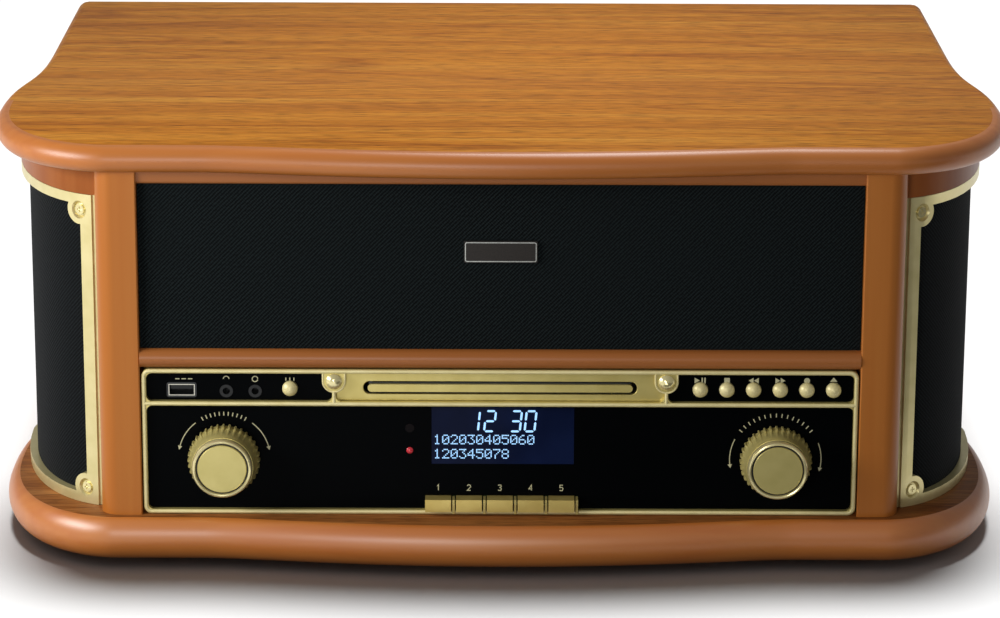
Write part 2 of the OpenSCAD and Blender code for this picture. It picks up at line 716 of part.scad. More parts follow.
chassis_x = tray_w / 2 + fit;
chassis_y0 = board_y + board_t + 6;
chassis_y1 = tray_y0 + tray_len + 16;
tray_z0 = slot_z - tray_t / 2;
module disc_chassis() color("#8d9094") in_case() {
  both_sides() {
    block(chassis_x, chassis_x + 2, chassis_y0, chassis_y1, base_z, tray_z0 + tray_t + 12);
    block(chassis_x, chassis_x + 12, chassis_y0, chassis_y1, base_z, base_z + 2);
    // ledge that the drawer runs on
    block(chassis_x - 6, chassis_x + 0.1, chassis_y0, chassis_y1, tray_z0 - fit - 3, tray_z0 - fit);
  }
  // mechanism plate under the drawer, with the disc motor and the laser sled
  difference() {
    block(-chassis_x - 0.1, chassis_x + 0.1, chassis_y0 + 20, chassis_y1, tray_z0 - fit - 14, tray_z0 - fit - 11);
    block(-9, 9, chassis_y0 + 24, chassis_y0 + 58, tray_z0 - 30, tray_z0);
  }
  translate([0, disc_y, tray_z0 - fit - 14]) cylinder(h = 11, r = 13);
  // bridge that holds the disc clamp
  difference() {
    block(-chassis_x - 0.1, chassis_x + 0.1, disc_y - 16, disc_y + 16,
      tray_z0 + tray_t + 10, tray_z0 + tray_t + 12);
    translate([0, disc_y, 0]) cylinder(h = case_z, r = 5);
  }
}

main_w = 140;
main_d = 110;
main_up = 8;
main_y = waist_y + 33;
module main_board() color(BOARD) in_case() translate([0, main_y, base_z]) {
  half = [main_w / 2, main_d / 2];
  block(-half[0], half[0], -half[1], half[1], main_up, main_up + board_t);
  for (x = [-1, 1], y = [-1, 1]) translate([x * (half[0] - 6), y * (half[1] - 6), 0]) cylinder(h = main_up + 0.1, r = 3.5);
  // heat sink, two capacitors and two chips
  block(-main_w * 0.41, -main_w * 0.13, -main_d * 0.37, -main_d * 0.32, main_up + 1, main_up + 32);
  for (x = [-0.04, 0.1]) translate([x * main_w, -main_d * 0.19, main_up + 1]) cylinder(h = 24, r = main_w * 0.055);
  block(-main_w * 0.36, -main_w * 0.14, -main_d * 0.1, main_d * 0.17, main_up + 1, main_up + 4);
  block(main_w * 0.14, main_w * 0.39, main_d * 0.08, main_d * 0.35, main_up + 1, main_up + 4);
}

supply_w = 70;
supply_d = 60;
module power_supply() color("#6d6f72") in_case() translate([main_w / 2 + 20, main_y - supply_d / 2 + 9, base_z]) {
  // plate, iron core and winding
  cube([supply_w, supply_d, 3]);
  translate([supply_w / 7, supply_d / 10, 2]) cube([supply_w * 5 / 7, supply_d * 0.8, supply_d * 0.7]);
  translate([supply_w / 17, supply_d * 0.3, 8]) cube([supply_w * 15 / 17, supply_d * 0.4, supply_d / 2]);
}

switch_len = board_y - stem_end - press - fit;
module switch_at(x, z) block(x - 3, x + 3, board_y - switch_len, board_y + 0.1, z - 3, z + 3);
module control_board() color(BOARD) in_case() difference() {
  union() {
    block(-bezel_w / 2 + 6, bezel_w / 2 - 6, board_y, board_y + board_t, base_z + 0.4, slot_z - 14);
    both_sides() block(lobe_at + 4, bezel_w / 2 - 6, board_y, board_y + board_t, slot_z - 15, bezel_z + bezel_h - 3);
    for (i = [0 : 5]) switch_at(button_at + i * button_step, button_z);
    switch_at(function_at, button_z);
    for (x = key_mid) switch_at(x, key_z0 + key_h / 2 + 1);
    // rotary encoders behind the knobs
    for (x = [-knob_at, knob_at]) {
      block(x - 7, x + 7, fascia_back + 1, board_y + 0.1, knob_z - 7, knob_z + 7);
      rod_y(x, knob_z, 4.5, fascia_y + 0.5, fascia_back + 1.1);
    }
  }
  for (x = [-knob_at, knob_at]) rod_y(x, knob_z, shaft_r + run_fit, 0, board_y - 0.6);
}

// an opening with round corners in front of the panel and square ones behind, where the panel sits
module bezel_opening(x0, x1, z0, z1) {
  panel(x0, x1, z0, z1, opening_r, bezel_set - 1, fascia_y + 0.01);
  block(x0, x1, fascia_y, bezel_set + bezel_d + 1, z0, z1);
}
bar_w2 = 1.8;
module control_bezel() color(BRASS) in_case() {
  top_z = bezel_z + bezel_h - bezel_rail;
  side_x = bezel_w / 2 - bezel_rail;
  difference() {
    panel(-bezel_w / 2, bezel_w / 2, bezel_z, bezel_z + bezel_h, 4, bezel_set, bezel_set + bezel_d);
    bezel_opening(-side_x, side_x, bezel_z + bezel_rail, divider_z);
    bezel_opening(-side_x, -lobe_at - bar_w2 / 2, divider_z + bezel_rail, top_z);
    bezel_opening(lobe_at + bar_w2 / 2, side_x, divider_z + bezel_rail, top_z);
    bezel_opening(-lobe_at + bar_w2 / 2, lobe_at - bar_w2 / 2, divider_z + bezel_rail, top_z);
  }
  // lobes round the studs
  both_sides() intersection() {
    rod_y(lobe_at, stud_z, bezel_lobe_r, bezel_set, fascia_y);
    block(0, bezel_w, 0, fascia_y, bezel_z, top_z + 0.1);
  }
  both_sides() block(lobe_at - bezel_lobe_r, lobe_at + bezel_lobe_r, bezel_set, fascia_y, stud_z, top_z + 0.1);
  // ribs between the keys
  for (x = key_mid)
    block(x + key_pitch / 2 - 0.6, x + key_pitch / 2 + 0.6, fascia_y - key_out + 1, fascia_y + 0.5, bezel_z + 1.2, key_z0 + key_h - 0.3);
}

key_gap = fit;
module fascia() color(BLACK) in_case() difference() {
  block(-bezel_w / 2 + bezel_rail + fit, bezel_w / 2 - bezel_rail - fit, fascia_y, fascia_back,
    bezel_z + bezel_rail + 0.1, bezel_z + bezel_h - bezel_rail - 0.1);
  // room for the bezel's divider and bars
  block(-bezel_w, bezel_w, 0, 20, divider_z - 0.1, divider_z + bezel_rail + 0.1);
  // room for the disc plate
  block(-lobe_at - bar_w2 / 2 - 0.1, lobe_at + bar_w2 / 2 + 0.1, 0, 20, divider_z, case_z);
  block(-display_w / 2 + display_x - 0.1, display_w / 2 + display_x + 0.1, 0, 20, bezel_z + display_up - 0.1,
    bezel_z + display_up + display_h + 0.1);
  for (i = [0 : 5]) rod_y(button_at + i * button_step, button_z, button_d / 2 + 0.2, 0, 20);
  rod_y(function_at, button_z, button_d / 2 + 0.2, 0, 20);
  for (x = [-knob_at, knob_at]) rod_y(x, knob_z, 4.5 + 0.1, 0, 20);
  block(key_mid[0] - key_w / 2 - key_gap, key_mid[KEYS - 1] + key_w / 2 + 2, 0, 20, 0, key_z0 + key_h + key_gap);
  rod_y(lamp_x, sensor_z, sensor_d / 2 + 0.05, 0, 20);
  rod_y(lamp_x, lamp_z, lamp_d / 2 + 0.05, 0, 20);
  block(usb_at - usb_w / 2 - 0.1, usb_at + usb_w / 2 + 0.1, 0, 20, usb_z - usb_h / 2 - 0.1, usb_z + usb_h / 2 + 0.1);
  for (x = jack_ats) rod_y(x, jack_z, jack_d / 2 + 0.05, 0, 20);
}

module disc_plate() color(BRASS) in_case() difference() {
  block(-lobe_at + bar_w2 / 2 + 0.1, lobe_at - bar_w2 / 2 - 0.1, fascia_y, fascia_back, divider_z + bezel_rail + 0.1,
    bezel_z + bezel_h - bezel_rail - 0.1);
  panel(-slot_w / 2, slot_w / 2, slot_z - slot_h / 2, slot_z + slot_h / 2, slot_h / 2 - 0.05, 0, 20);
}

module display() color(SCREEN) in_case() {
  z0 = bezel_z + display_up;
  block(display_x - display_w / 2, display_x + display_w / 2, fascia_y, fascia_back + 0.1, z0, z0 + display_h);
  block(display_x - display_w / 2 - 2, display_x + display_w / 2 + 2, fascia_back + fit, board_y, z0 - 2, divider_z - 0.4);
  block(display_x - display_w / 2, display_x + display_w / 2, fascia_back, fascia_back + 1, z0, z0 + display_h);
}

usb_w = 13.1;
usb_h = 5.9;
usb_z = button_z - 0.9;
jack_z = button_z - 1.5;
sensor_z = bezel_z + 44.6;
lamp_z = bezel_z + 32.8;
module front_sockets() color(STEEL) in_case() {
  // memory-stick socket: shell, tongue and back
  difference() {
    block(usb_at - usb_w / 2, usb_at + usb_w / 2, fascia_y - 0.5, board_y, usb_z - usb_h / 2, usb_z + usb_h / 2);
    block(usb_at - usb_w / 2 + 0.4, usb_at + usb_w / 2 - 0.4, fascia_y - 1, board_y - 1, usb_z - usb_h / 2 + 0.4, usb_z + usb_h / 2 - 0.4);
  }
  block(usb_at - 5.5, usb_at + 5.5, fascia_y + 0.8, board_y - 0.5, usb_z + 0.2, usb_z + 2.1);
  for (x = jack_ats) difference() {
    union() {
      rod_y(x, jack_z, jack_d / 2, fascia_y - 0.5, fascia_back + 1);
      block(x - 5, x + 5, fascia_back, board_y, jack_z - 4.5, jack_z + 4.5);
    }
    rod_y(x, jack_z, jack_bore / 2, fascia_y - 2, board_y - 0.6);
  }
}

module sensor_window() color("#241014") in_case() {
  rod_y(lamp_x, sensor_z, sensor_d / 2, fascia_y - 0.2, fascia_back + 0.1);
  block(lamp_x - 3.5, lamp_x + 3.5, fascia_back, board_y, sensor_z - 3.5, sensor_z + 3.5);
}
module power_lamp() color("#c82a2a") in_case() {
  translate([lamp_x, fascia_y, lamp_z]) rotate([90, 0, 0]) dome(lamp_d / 2, 0.9);
  rod_y(lamp_x, lamp_z, lamp_d / 2, fascia_y, board_y);
}

hinge_xs = [-150, 150];
leaf_w = 48;
leaf_t = 1.3;
knuckle = leaf_w / 3;
module case_hinges() color(BRASS) in_case() {
  for (x = hinge_xs) {
    // leaf on the back panel, with the middle knuckle and its pin
    block(x - leaf_w / 2, x + leaf_w / 2, wall_end_y, wall_end_y + leaf_t, hinge_z - 24, hinge_z - 1.6);
    block(x - knuckle / 2 + 0.2, x + knuckle / 2 - 0.2, wall_end_y, hinge_y, hinge_z - barrel_r, hinge_z - 1.6);
    rod_x(x - knuckle / 2 + 0.2, x + knuckle / 2 - 0.2, hinge_y, hinge_z, barrel_r);
    rod_x(x - leaf_w / 2 + 1, x + leaf_w / 2 - 1, hinge_y, hinge_z, pin_r);
  }
  // plate and pin that guide the lid stay
  wall_x = -(back_w / 2 - side_in - wall_t);
  block(wall_x, wall_x + 2, stay_case[0] - 10, stay_case[0] + 10, stay_case[1] - 10, stay_case[1] + 10);
  rod_x(wall_x, stay_x + stay_bar_t / 2 + 1.5, stay_case[0], stay_case[1], stay_pin_r);
  rod_x(stay_x + stay_bar_t / 2 + 0.4, stay_x + stay_bar_t / 2 + 2, stay_case[0], stay_case[1], stay_pin_r + 2);
}

module lid() color(WOOD) in_case() slab(0, lid_z, lid_t, lid_nose, 80, -60);

stay_eye_r = 6;
module lid_hinges() color(BRASS) in_case() {
  for (x = hinge_xs) {
    block(x - leaf_w / 2, x + leaf_w / 2, case_d, case_d + leaf_t, hinge_z + barrel_r + 0.5, lid_z + lid_t - 1);
    for (s = [-1, 1]) difference() {
      union() {
        rod_x(x + s * knuckle - knuckle / 2 + 0.2, x + s * knuckle + knuckle / 2 - 0.2, hinge_y, hinge_z, barrel_r);
        block(x + s * knuckle - knuckle / 2 + 0.2, x + s * knuckle + knuckle / 2 - 0.2, case_d, hinge_y,
          hinge_z + 1.4, hinge_z + barrel_r + 0.6);
      }
      rod_x(x - leaf_w, x + leaf_w, hinge_y, hinge_z, pin_r + run_fit);
    }
  }
  // bracket under the lid that carries the stay
  block(stay_x - 8, stay_x + stay_bar_t / 2 + 3, stay_lid[0] - 8, stay_lid[0] + 8, lid_z - 1.5, lid_z);
  block(stay_x + stay_bar_t / 2 + fit, stay_x + stay_bar_t / 2 + 3, stay_lid[0] - 5, stay_lid[0] + 5, stay_lid[1] - 5, lid_z - 1);
  rod_x(stay_x - stay_bar_t / 2 - 1.5, stay_x + stay_bar_t / 2 + 1, stay_lid[0], stay_lid[1], 1.9);
}

stay_tip = 9;
stay_bar_w = 12;
stay_slot_r = stay_pin_r + fit;
module stay_arm() color(STEEL) in_case()
  translate([stay_x, stay_lid[0], stay_lid[1]])
  rotate([atan2(stay_case[0] - stay_lid[0], stay_lid[1] - stay_case[1]), 0, 0])
  rotate([0, 90, 0]) difference() {
    // drawn along +X with the lid pivot at the origin
    translate([0, 0, -stay_bar_t / 2]) linear_extrude(height = stay_bar_t) difference() {
      union() {
        circle(r = stay_eye_r - 0.4);
        translate([0, -stay_eye_r + 0.4]) square([14, 2 * stay_eye_r - 0.8]);
        translate([12, -stay_bar_w / 2]) square([stay_reach - 12, stay_bar_w]);
        translate([stay_reach, 0]) circle(r = stay_bar_w / 2);
      }
      circle(r = 1.9 + run_fit);
      translate([stay_first, -stay_slot_r]) square([stay_reach - stay_first, 2 * stay_slot_r]);
      for (x = [stay_first, stay_reach]) translate([x, 0]) circle(r = stay_slot_r);
    }
  }
stay_first = 2 * stay_r * sin(stay_turn / 2);

module platter() color("#2c2e30") in_case() translate([platter_x, platter_y, 0]) difference() {
  union() {
    rotate_extrude() polygon([
      [0, mat_z], [platter_d / 2 - 1, mat_z], [platter_d / 2, mat_z - 1], [platter_d / 2, platter_z],
      [platter_d / 2 - 3, platter_z], [platter_d / 2 - 3, mat_z - 3], [belt_ring_r, mat_z - 3],
      [belt_ring_r, platter_z + 0.5], [belt_ring_r - 3, platter_z + 0.5], [belt_ring_r - 3, mat_z - 3],
      [9, mat_z - 3], [9, deck_z + 2], [0, deck_z + 2]]);
    translate([0, 0, deck_z - deck_t - bearing_len + 2 + 0.3]) cylinder(h = record_z - deck_z + deck_t + bearing_len - 2.3, r = platter_shaft_r);
    translate([0, 0, mat_z]) cylinder(h = record_z + 14 - mat_z, r = spindle_d / 2);
  }
  translate([0, 0, record_z + 12]) cylinder(h = 60, r = 20);
}

module platter_mat() color("#1b1b1c") in_case() translate([platter_x, platter_y, mat_z]) difference() {
  cylinder(h = mat_t, r = platter_d / 2 - 3);
  translate([0, 0, -1]) cylinder(h = mat_t + 2, r = platter_shaft_r + 0.4);
}

module motor_pulley() color(STEEL) in_case() translate([motor_x, motor_y, 0]) {
  translate([0, 0, platter_z + 0.5]) difference() {
    cylinder(h = 6, r = pulley_r + 1);
    translate([0, 0, 1]) difference() {
      cylinder(h = 4, r = pulley_r + 3);
      translate([0, 0, -1]) cylinder(h = 6, r = pulley_r);
    }
  }
  translate([0, 0, deck_z - deck_t - 13]) cylinder(h = platter_z + 1 - deck_z + deck_t + 13, r = 1);
}

belt_h = 3.4;
belt_t = 0.8;
module belt_loop(grow) hull() {
  circle(r = belt_ring_r + grow, $fn = 96);
  translate([motor_x - platter_x, motor_y - platter_y]) circle(r = pulley_r + grow, $fn = 32);
}
module drive_belt() color(RUBBER) in_case() translate([platter_x, platter_y, platter_z + 1.8])
  linear_extrude(height = belt_h) difference() {
    belt_loop(0.3 + belt_t);
    belt_loop(0.3);
  }

yoke_in = 9;
module arm_gimbal() color(STEEL) in_case() translate([arm_x, arm_y, 0]) difference() {
  union() {
    translate([0, 0, deck_z + 2.3]) cylinder(h = 8, r = 4);
    translate([0, 0, gimbal_z]) cylinder(h = 4, r = 14);
    for (s = [-1, 1]) translate([s * (yoke_in + 1.5) - 1.5, -5, gimbal_z + 3]) cube([3, 10, pitch_z - gimbal_z + 1]);
    for (s = [-1, 1]) translate([s * (yoke_in + 1.5) - 1.5, 0, pitch_z]) rotate([0, 90, 0]) cylinder(h = 3, r = 5);
  }
  translate([-20, 0, pitch_z]) rotate([0, 90, 0]) cylinder(h = 40, r = 1.5 + run_fit);
}

shell_turn = 24;
shell_len = 34;
needle_out = shell_len - 3;
// the needle, not the tube's end, lies arm_len from the pivot
tube_len = sqrt(arm_len * arm_len - pow(needle_out * sin(shell_turn), 2)) - needle_out * cos(shell_turn);
module tonearm() color(STEEL) in_case() translate([arm_x, arm_y, pitch_z]) {
  // block on its cross pin, tube and rear weight
  translate([-yoke_in + 1, -8, -arm_d / 2 - 1]) cube([2 * yoke_in - 2, 16, arm_d + 2]);
  translate([-yoke_in - 4, 0, 0]) rotate([0, 90, 0]) cylinder(h = 2 * yoke_in + 8, r = 1.5);
  rotate([90, 0, 0]) cylinder(h = tube_len + 2, r = arm_d / 2);
  translate([0, 7, 0]) rotate([-90, 0, 0]) cylinder(h = 10, r = arm_d / 2 - 1);
  translate([0, 14, 0]) rotate([-90, 0, 0]) cylinder(h = 20, r = 10);
  // head shell, turned inwards, with a finger lift
  translate([0, -tube_len, 0]) rotate([0, 0, -shell_turn]) {
    translate([-7, -shell_len - 2, -2]) cube([14, shell_len + 2, 2.2]);
    translate([6, -shell_len + 2, -2]) cube([9, 3, 1.6]);
  }
}

shell_z = pitch_z - 2;
module cartridge() color("#8a2f26") in_case()
  translate([arm_x, arm_y - tube_len, 0]) rotate([0, 0, -shell_turn]) {
    translate([-5, -shell_len, shell_z - 6.5]) cube([10, 18, 6.5]);
    translate([-1, -shell_len + 2, stylus_z + 0.8]) cube([2, 8, shell_z - stylus_z - 7]);
    translate([0, -needle_out, stylus_z]) cylinder(h = 1.6, r1 = 0.3, r2 = 0.9);
  }

module cue_lever() color(STEEL) in_case() translate([cue_x, arm_y - cue_reach, deck_z + 12]) {
  translate([-6.5, 0, 0]) rotate([0, 90, 0]) cylinder(h = 15.5, r = 1.5);
  translate([-2.7, 0, 0]) rotate([0, 90, 0]) cylinder(h = 7.4, r = 3.5);
  translate([-1.5, -32, -1.5]) cube([5, 32, 3]);
  translate([-2.5, -38, -2]) cube([7, 10, 4]);
}

lift_arc = 46;
module cue_lift() color("#303236") in_case() translate([arm_x, arm_y, 0]) {
  translate([0, 0, lift_z]) rotate([0, 0, -90 - lift_arc]) rotate_extrude(angle = lift_arc + 8)
    translate([cue_reach, 0]) square([6, lift_t]);
  translate([0, -cue_reach - 3, deck_z - deck_t - 8]) cylinder(h = lift_z + 0.5 - deck_z + deck_t + 8, r = 2.5);
}

module speed_lever() color(BLACK) in_case() translate([speed_x, speed_y, 0]) {
  translate([0, 0, deck_z - deck_t - 4]) cylinder(h = deck_t + 5, r = 3);
  translate([0, 0, deck_z + fit]) cylinder(h = 4, r = 8);
  translate([-2.5, -20, deck_z + fit]) cube([5, 20, 3]);
  translate([0, -20, deck_z + fit]) cylinder(h = 7, r = 4);
}

module disc_tray() color("#191a1c") in_case() difference() {
  block(-tray_w / 2, tray_w / 2, tray_y0, tray_y0 + tray_len, tray_z0, tray_z0 + tray_t);
  translate([0, disc_y, tray_z0 + tray_t - 2.8]) cylinder(h = 5, r = disc_d / 2);
  translate([0, disc_y, tray_z0 - 1]) cylinder(h = 10, r = 17);
  block(-9, 9, disc_y - 48, disc_y, tray_z0 - 1, tray_z0 + 10);
}

module tray_bar() color(BRASS) in_case()
  panel(-bar_w / 2, bar_w / 2, slot_z - bar_h / 2, slot_z + bar_h / 2, bar_h / 2 - 0.05, fascia_y - 0.8, tray_y0);

module knob_shaft(x) in_case() rod_y(x, knob_z, shaft_r, knob_back - knob_len + 5, board_y - 0.6 - press - 0.1);
module volume_shaft() color(STEEL) knob_shaft(-knob_at);
module tuning_shaft() color(STEEL) knob_shaft(knob_at);
module knob(x) in_case() translate([x, knob_back, knob_z]) rotate([90, 0, 0]) difference() {
  union() {
    rotate_extrude() polygon([
      [0, 0], [knob_r - 0.5, 0], [knob_r, 0.5], [knob_r, 4.2], [knob_r - 0.6, 7], [knob_rim_r + 0.9, knob_len - 6],
      [knob_rim_r + 0.2, knob_len - 3.4], [knob_rim_r, knob_len - 2], [knob_rim_r - 0.4, knob_len - 0.6],
      [knob_rim_r - 1.1, knob_len], [knob_rim_r - 1.8, knob_len - 0.4], [knob_rim_r - 2.1, knob_len - 1.6],
      [knob_rim_r - 2.8, knob_len - 1.6], [knob_rim_r - 3, knob_len - 0.5], [0, knob_len - 0.3]]);
    for (i = [0 : ridges - 1]) rotate([0, 0, i * 360 / ridges]) translate([knob_r - 0.4, -0.45, 0.2]) cube([ridge_h + 0.4, 0.9, 4.6]);
  }
  translate([0, 0, -1]) cylinder(h = knob_len - 4, r = shaft_r + run_fit);
  translate([0, 0, -1]) cylinder(h = 3.2, r = 8);
}
module volume_knob() color(BRASS) knob(-knob_at);
module tuning_knob() color(BRASS) knob(knob_at);

button_out = 1.3;
module button(x) color(BRASS) in_case() {
  translate([x, fascia_y - button_out, button_z]) rotate([90, 0, 0]) dome(button_d / 2, 2.3);
  rod_y(x, button_z, button_d / 2, fascia_y - button_out, fascia_back + flange_t);
  rod_y(x, button_z, button_d / 2 + 0.9, fascia_back + fit, fascia_back + fit + flange_t);
  rod_y(x, button_z, 1.5, fascia_back, stem_end);
}
module function_button() button(function_at);
module play_button() button(button_at);
module stop_button() button(button_at + button_step);
module back_button() button(button_at + 2 * button_step);
module forward_button() button(button_at + 3 * button_step);
module record_button() button(button_at + 4 * button_step);
module open_button() button(button_at + 5 * button_step);

module key(i) color(BRASS) in_case() {
  x = key_mid[i];
  block(x - key_w / 2, x + key_w / 2, fascia_y - key_out, fascia_back + flange_t, key_z0, key_z0 + key_h);
  block(x - key_w / 2, x + key_w / 2, fascia_back + fit, fascia_back + fit + flange_t, key_z0, key_z0 + key_h + 2);
  rod_y(x, key_z0 + key_h / 2 + 1, 1.5, fascia_back, stem_end);
}
module key_1() key(0);
module key_2() key(1);
module key_3() key(2);
module key_4() key(3);
module key_5() key(4);

base_board();
feet();
side_wall_left();
side_wall_right();
front_frame();
front_grille();
name_plate();
side_cloths();
side_frames();
trim_screws();
speakers();
back_panel();
rear_sockets();
deck_plate();
turntable_motor();
spindle_bearing();
tonearm_base();
disc_chassis();
main_board();
power_supply();
control_board();
control_bezel();
fascia();
disc_plate();
display();
front_sockets();
sensor_window();
power_lamp();
case_hinges();
lid();
lid_hinges();
stay_arm();
platter();
platter_mat();
motor_pulley();
drive_belt();
arm_gimbal();
tonearm();
cartridge();
cue_lever();
cue_lift();
speed_lever();
disc_tray();
tray_bar();
volume_shaft();
volume_knob();
tuning_shaft();
tuning_knob();
function_button();
play_button();
stop_button();
back_button();
forward_button();
record_button();
open_button();
key_1();
key_2();
key_3();
key_4();
key_5();
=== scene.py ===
from math import cos, hypot, pi, radians, sin

import bmesh
import bpy
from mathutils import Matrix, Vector


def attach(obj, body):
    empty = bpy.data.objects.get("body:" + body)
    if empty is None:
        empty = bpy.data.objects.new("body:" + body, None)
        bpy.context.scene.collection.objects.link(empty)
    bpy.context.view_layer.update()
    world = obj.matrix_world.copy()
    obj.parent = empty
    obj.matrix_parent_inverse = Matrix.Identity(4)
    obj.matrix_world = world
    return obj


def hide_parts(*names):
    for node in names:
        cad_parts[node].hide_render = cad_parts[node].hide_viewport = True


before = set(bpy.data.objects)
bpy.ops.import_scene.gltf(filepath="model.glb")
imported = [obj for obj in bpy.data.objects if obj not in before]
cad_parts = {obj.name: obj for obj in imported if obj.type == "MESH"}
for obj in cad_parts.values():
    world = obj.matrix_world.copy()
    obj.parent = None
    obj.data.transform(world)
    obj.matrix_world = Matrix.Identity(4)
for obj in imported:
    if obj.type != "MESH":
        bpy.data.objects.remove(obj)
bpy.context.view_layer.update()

# Sizes of the music centre in millimetres. Y is counted from the front of the posts, Z from the table.
FRONT_Y = -171.75
CASE_D = 359.0
BACK_HALF, HIP_HALF, FLAT_HALF, BOW_HALF = 239.5, 251.5, 194.0, 148.0
HIP_Y, WAIST_Y, BOW_D, SIDE_HIP_Y = 91.0, 228.0, 12.0, 125.0
# how far the plan's curves reach before they bend, and those of the side cloths
WAIST_LEAD, HIP_LEAD, CORNER_LEAD, BOW_LEAD, BOW_PULL = 88, 62, 12, 22, 75
SIDE_WAIST_LEAD, SIDE_HIP_LEAD, SIDE_HIP_FRONT, SIDE_END_LEAD = 80, 15, 70, (23, 21)
LID_Z, LID_T, LID_NOSE = 205.0, 13.0, 6.0
CREST_IN, CREST_DROP = 0.7, 0.25      # the crisp edge where a rolled edge meets the top face
RUN_ON_SHARE, RUN_ON_LENGTH = 0.7, 50   # how far the lid's veneer runs on over its rolled edge
FOOT_H, BASE_T, BASE_NOSE, BASE_STEP = 5.0, 22.0, 5.5, 4.5
BASE_Z, CASE_Z = 27.0, 204.4
POST_OUT, POST_IN, POST_D, POST_R, POST_CHAMFER = 200.8, 179.7, 24.0, 9.0, 0.6
RAIL_Y, RAIL_BACK, LIP_R = 2.0, 14.0, 2
GRILLE_Y, GRILLE_T, GRILLE_Z0, GRILLE_Z1 = 4.0, 4.0, 113.3, 197.9
MIDDLE_Z, MIDDLE_H = 103.6, 9.7
CLOTH_T, RECESS_D, SIDE_IN, CLOTH_EASE, FRONT_CLOTH_T = 0.8, 4.8, 2.5, 0.25, 0.7
SIDE_Z0, SIDE_Z1, GRILLE_END_Y, SIDE_BACK_Y, SIDE_FRONT_Y = 27.2, 189.0, 213.7, 356, 13.5
BEZEL_X, BEZEL_Z, BEZEL_H, BEZEL_RAIL, BEZEL_Y = 179.0, 27.3, 75.9, 2.2, 1.5
DIVIDER_Z = 84.1
FASCIA_Y = 4.3
LOBE_X, LOBE_R, STUD_Z = 83.0, 5.5, 97.0
KNOB_X, KNOB_Z, KNOB_BACK = 138.4, 56.1, 3.0
KNOB_R, RIM_R, RIDGES, RIDGE_H = 17.2, 15.2, 36, 0.9
BUTTON_X, BUTTON_STEP, FUNCTION_X = 100.0, 13.33, -105.1
KEY_STEP = 15.5
PLATE_W, PLATE_H, PLATE_Z, PLATE_IN = 36.4, 11.0, 163.8, 0.7
PLATE_Y0, PLATE_Y1 = 2.36, 2.55       # depths of the plate's bright border
MAT_Z, MAT_T, MAT_R, SHAFT_R = 174.0, 2.0, 137.0, 4.2
PLATTER_X, PLATTER_Y = -40.0, 182.0
STICK_X, STICK_Z, STICK_W, STICK_H = -159.2, 91.7, 14.2, 7.0
SOCKET_SPLIT_X = -148.0               # between the stick socket and the jacks
JACK_XS = (-136.9, -122.5)
RIDGE_STEPS = 8                       # corners of the knob's skirt for each ridge
RIDGE_FROM, RIDGE_FULL, RIDGE_TO, RIDGE_FADE = 0.35, 4.75, 8, 0.25   # heights on the knob, and the loss per mm
MAT_STEPS = 128
BEAD_STEPS = 8


def at(x, y, z):
    return Vector((x, y + FRONT_Y, z)) * 0.001


# ---------------------------------------------------------------- finishes

def linear(code):
    """An sRGB hex colour as linear light."""
    parts = [int(code[i:i + 2], 16) / 255 for i in (1, 3, 5)]
    return tuple(c / 12.92 if c <= 0.04045 else ((c + 0.055) / 1.055) ** 2.4 for c in parts) + (1.0,)


def add(finish, kind, links=None, stops=None, **settings):
    """Adds one node to a finish, with its settings, colour stops, and values or links by socket."""
    made = finish.node_tree.nodes.new("ShaderNode" + kind)
    for name, value in settings.items():
        setattr(made, name, value)
    for i, (place, code) in enumerate(stops or []):
        stop = made.color_ramp.elements[i] if i < 2 else made.color_ramp.elements.new(place)
        stop.position, stop.color = place, linear(code)
    for socket, value in (links or {}).items():
        if isinstance(value, bpy.types.NodeSocket):
            finish.node_tree.links.new(value, made.inputs[socket])
        else:
            made.inputs[socket].default_value = value
    return made


def finish_named(name, colour, roughness, **sockets):
    """A new finish with one shader; its constants stand on the shader's own sockets."""
    finish = bpy.data.materials.new(name)
    finish.use_nodes = True
    shader = finish.node_tree.nodes["Principled BSDF"]
    shader.inputs["Base Color"].default_value = linear(colour)
    shader.inputs["Roughness"].default_value = roughness
    for socket, value in sockets.items():
        shader.inputs[socket.replace("_", " ")].default_value = value
    finish.diffuse_color = linear(colour)
    return finish, shader


def wire(finish, shader, **sockets):
    for socket, value in sockets.items():
        finish.node_tree.links.new(value, shader.inputs[socket.replace("_", " ")])


def speckle(finish, size_mm, place="Object"):
    """Even noise with features of that size."""
    where = add(finish, "TexCoord").outputs[place]
    return add(finish, "TexNoise", {"Vector": where, "Scale": 1000 / size_mm, "Detail": 2.0}).outputs["Fac"]


def streaks(finish, along, length_mm, width_mm, detail, seed):
    """Noise drawn out along one axis, as grain or brushing runs."""
    where = add(finish, "TexCoord").outputs["Object"]
    scale = [1000 / (length_mm if axis == along else width_mm) for axis in "XYZ"]
    drawn = add(finish, "Mapping", {"Vector": where, "Location": (seed, seed * 0.7, seed * 1.3), "Scale": scale})
    return add(finish, "TexNoise", {"Vector": drawn.outputs["Vector"], "Scale": 1.0, "Detail": detail,
                                    "Roughness": 0.6}).outputs["Fac"]


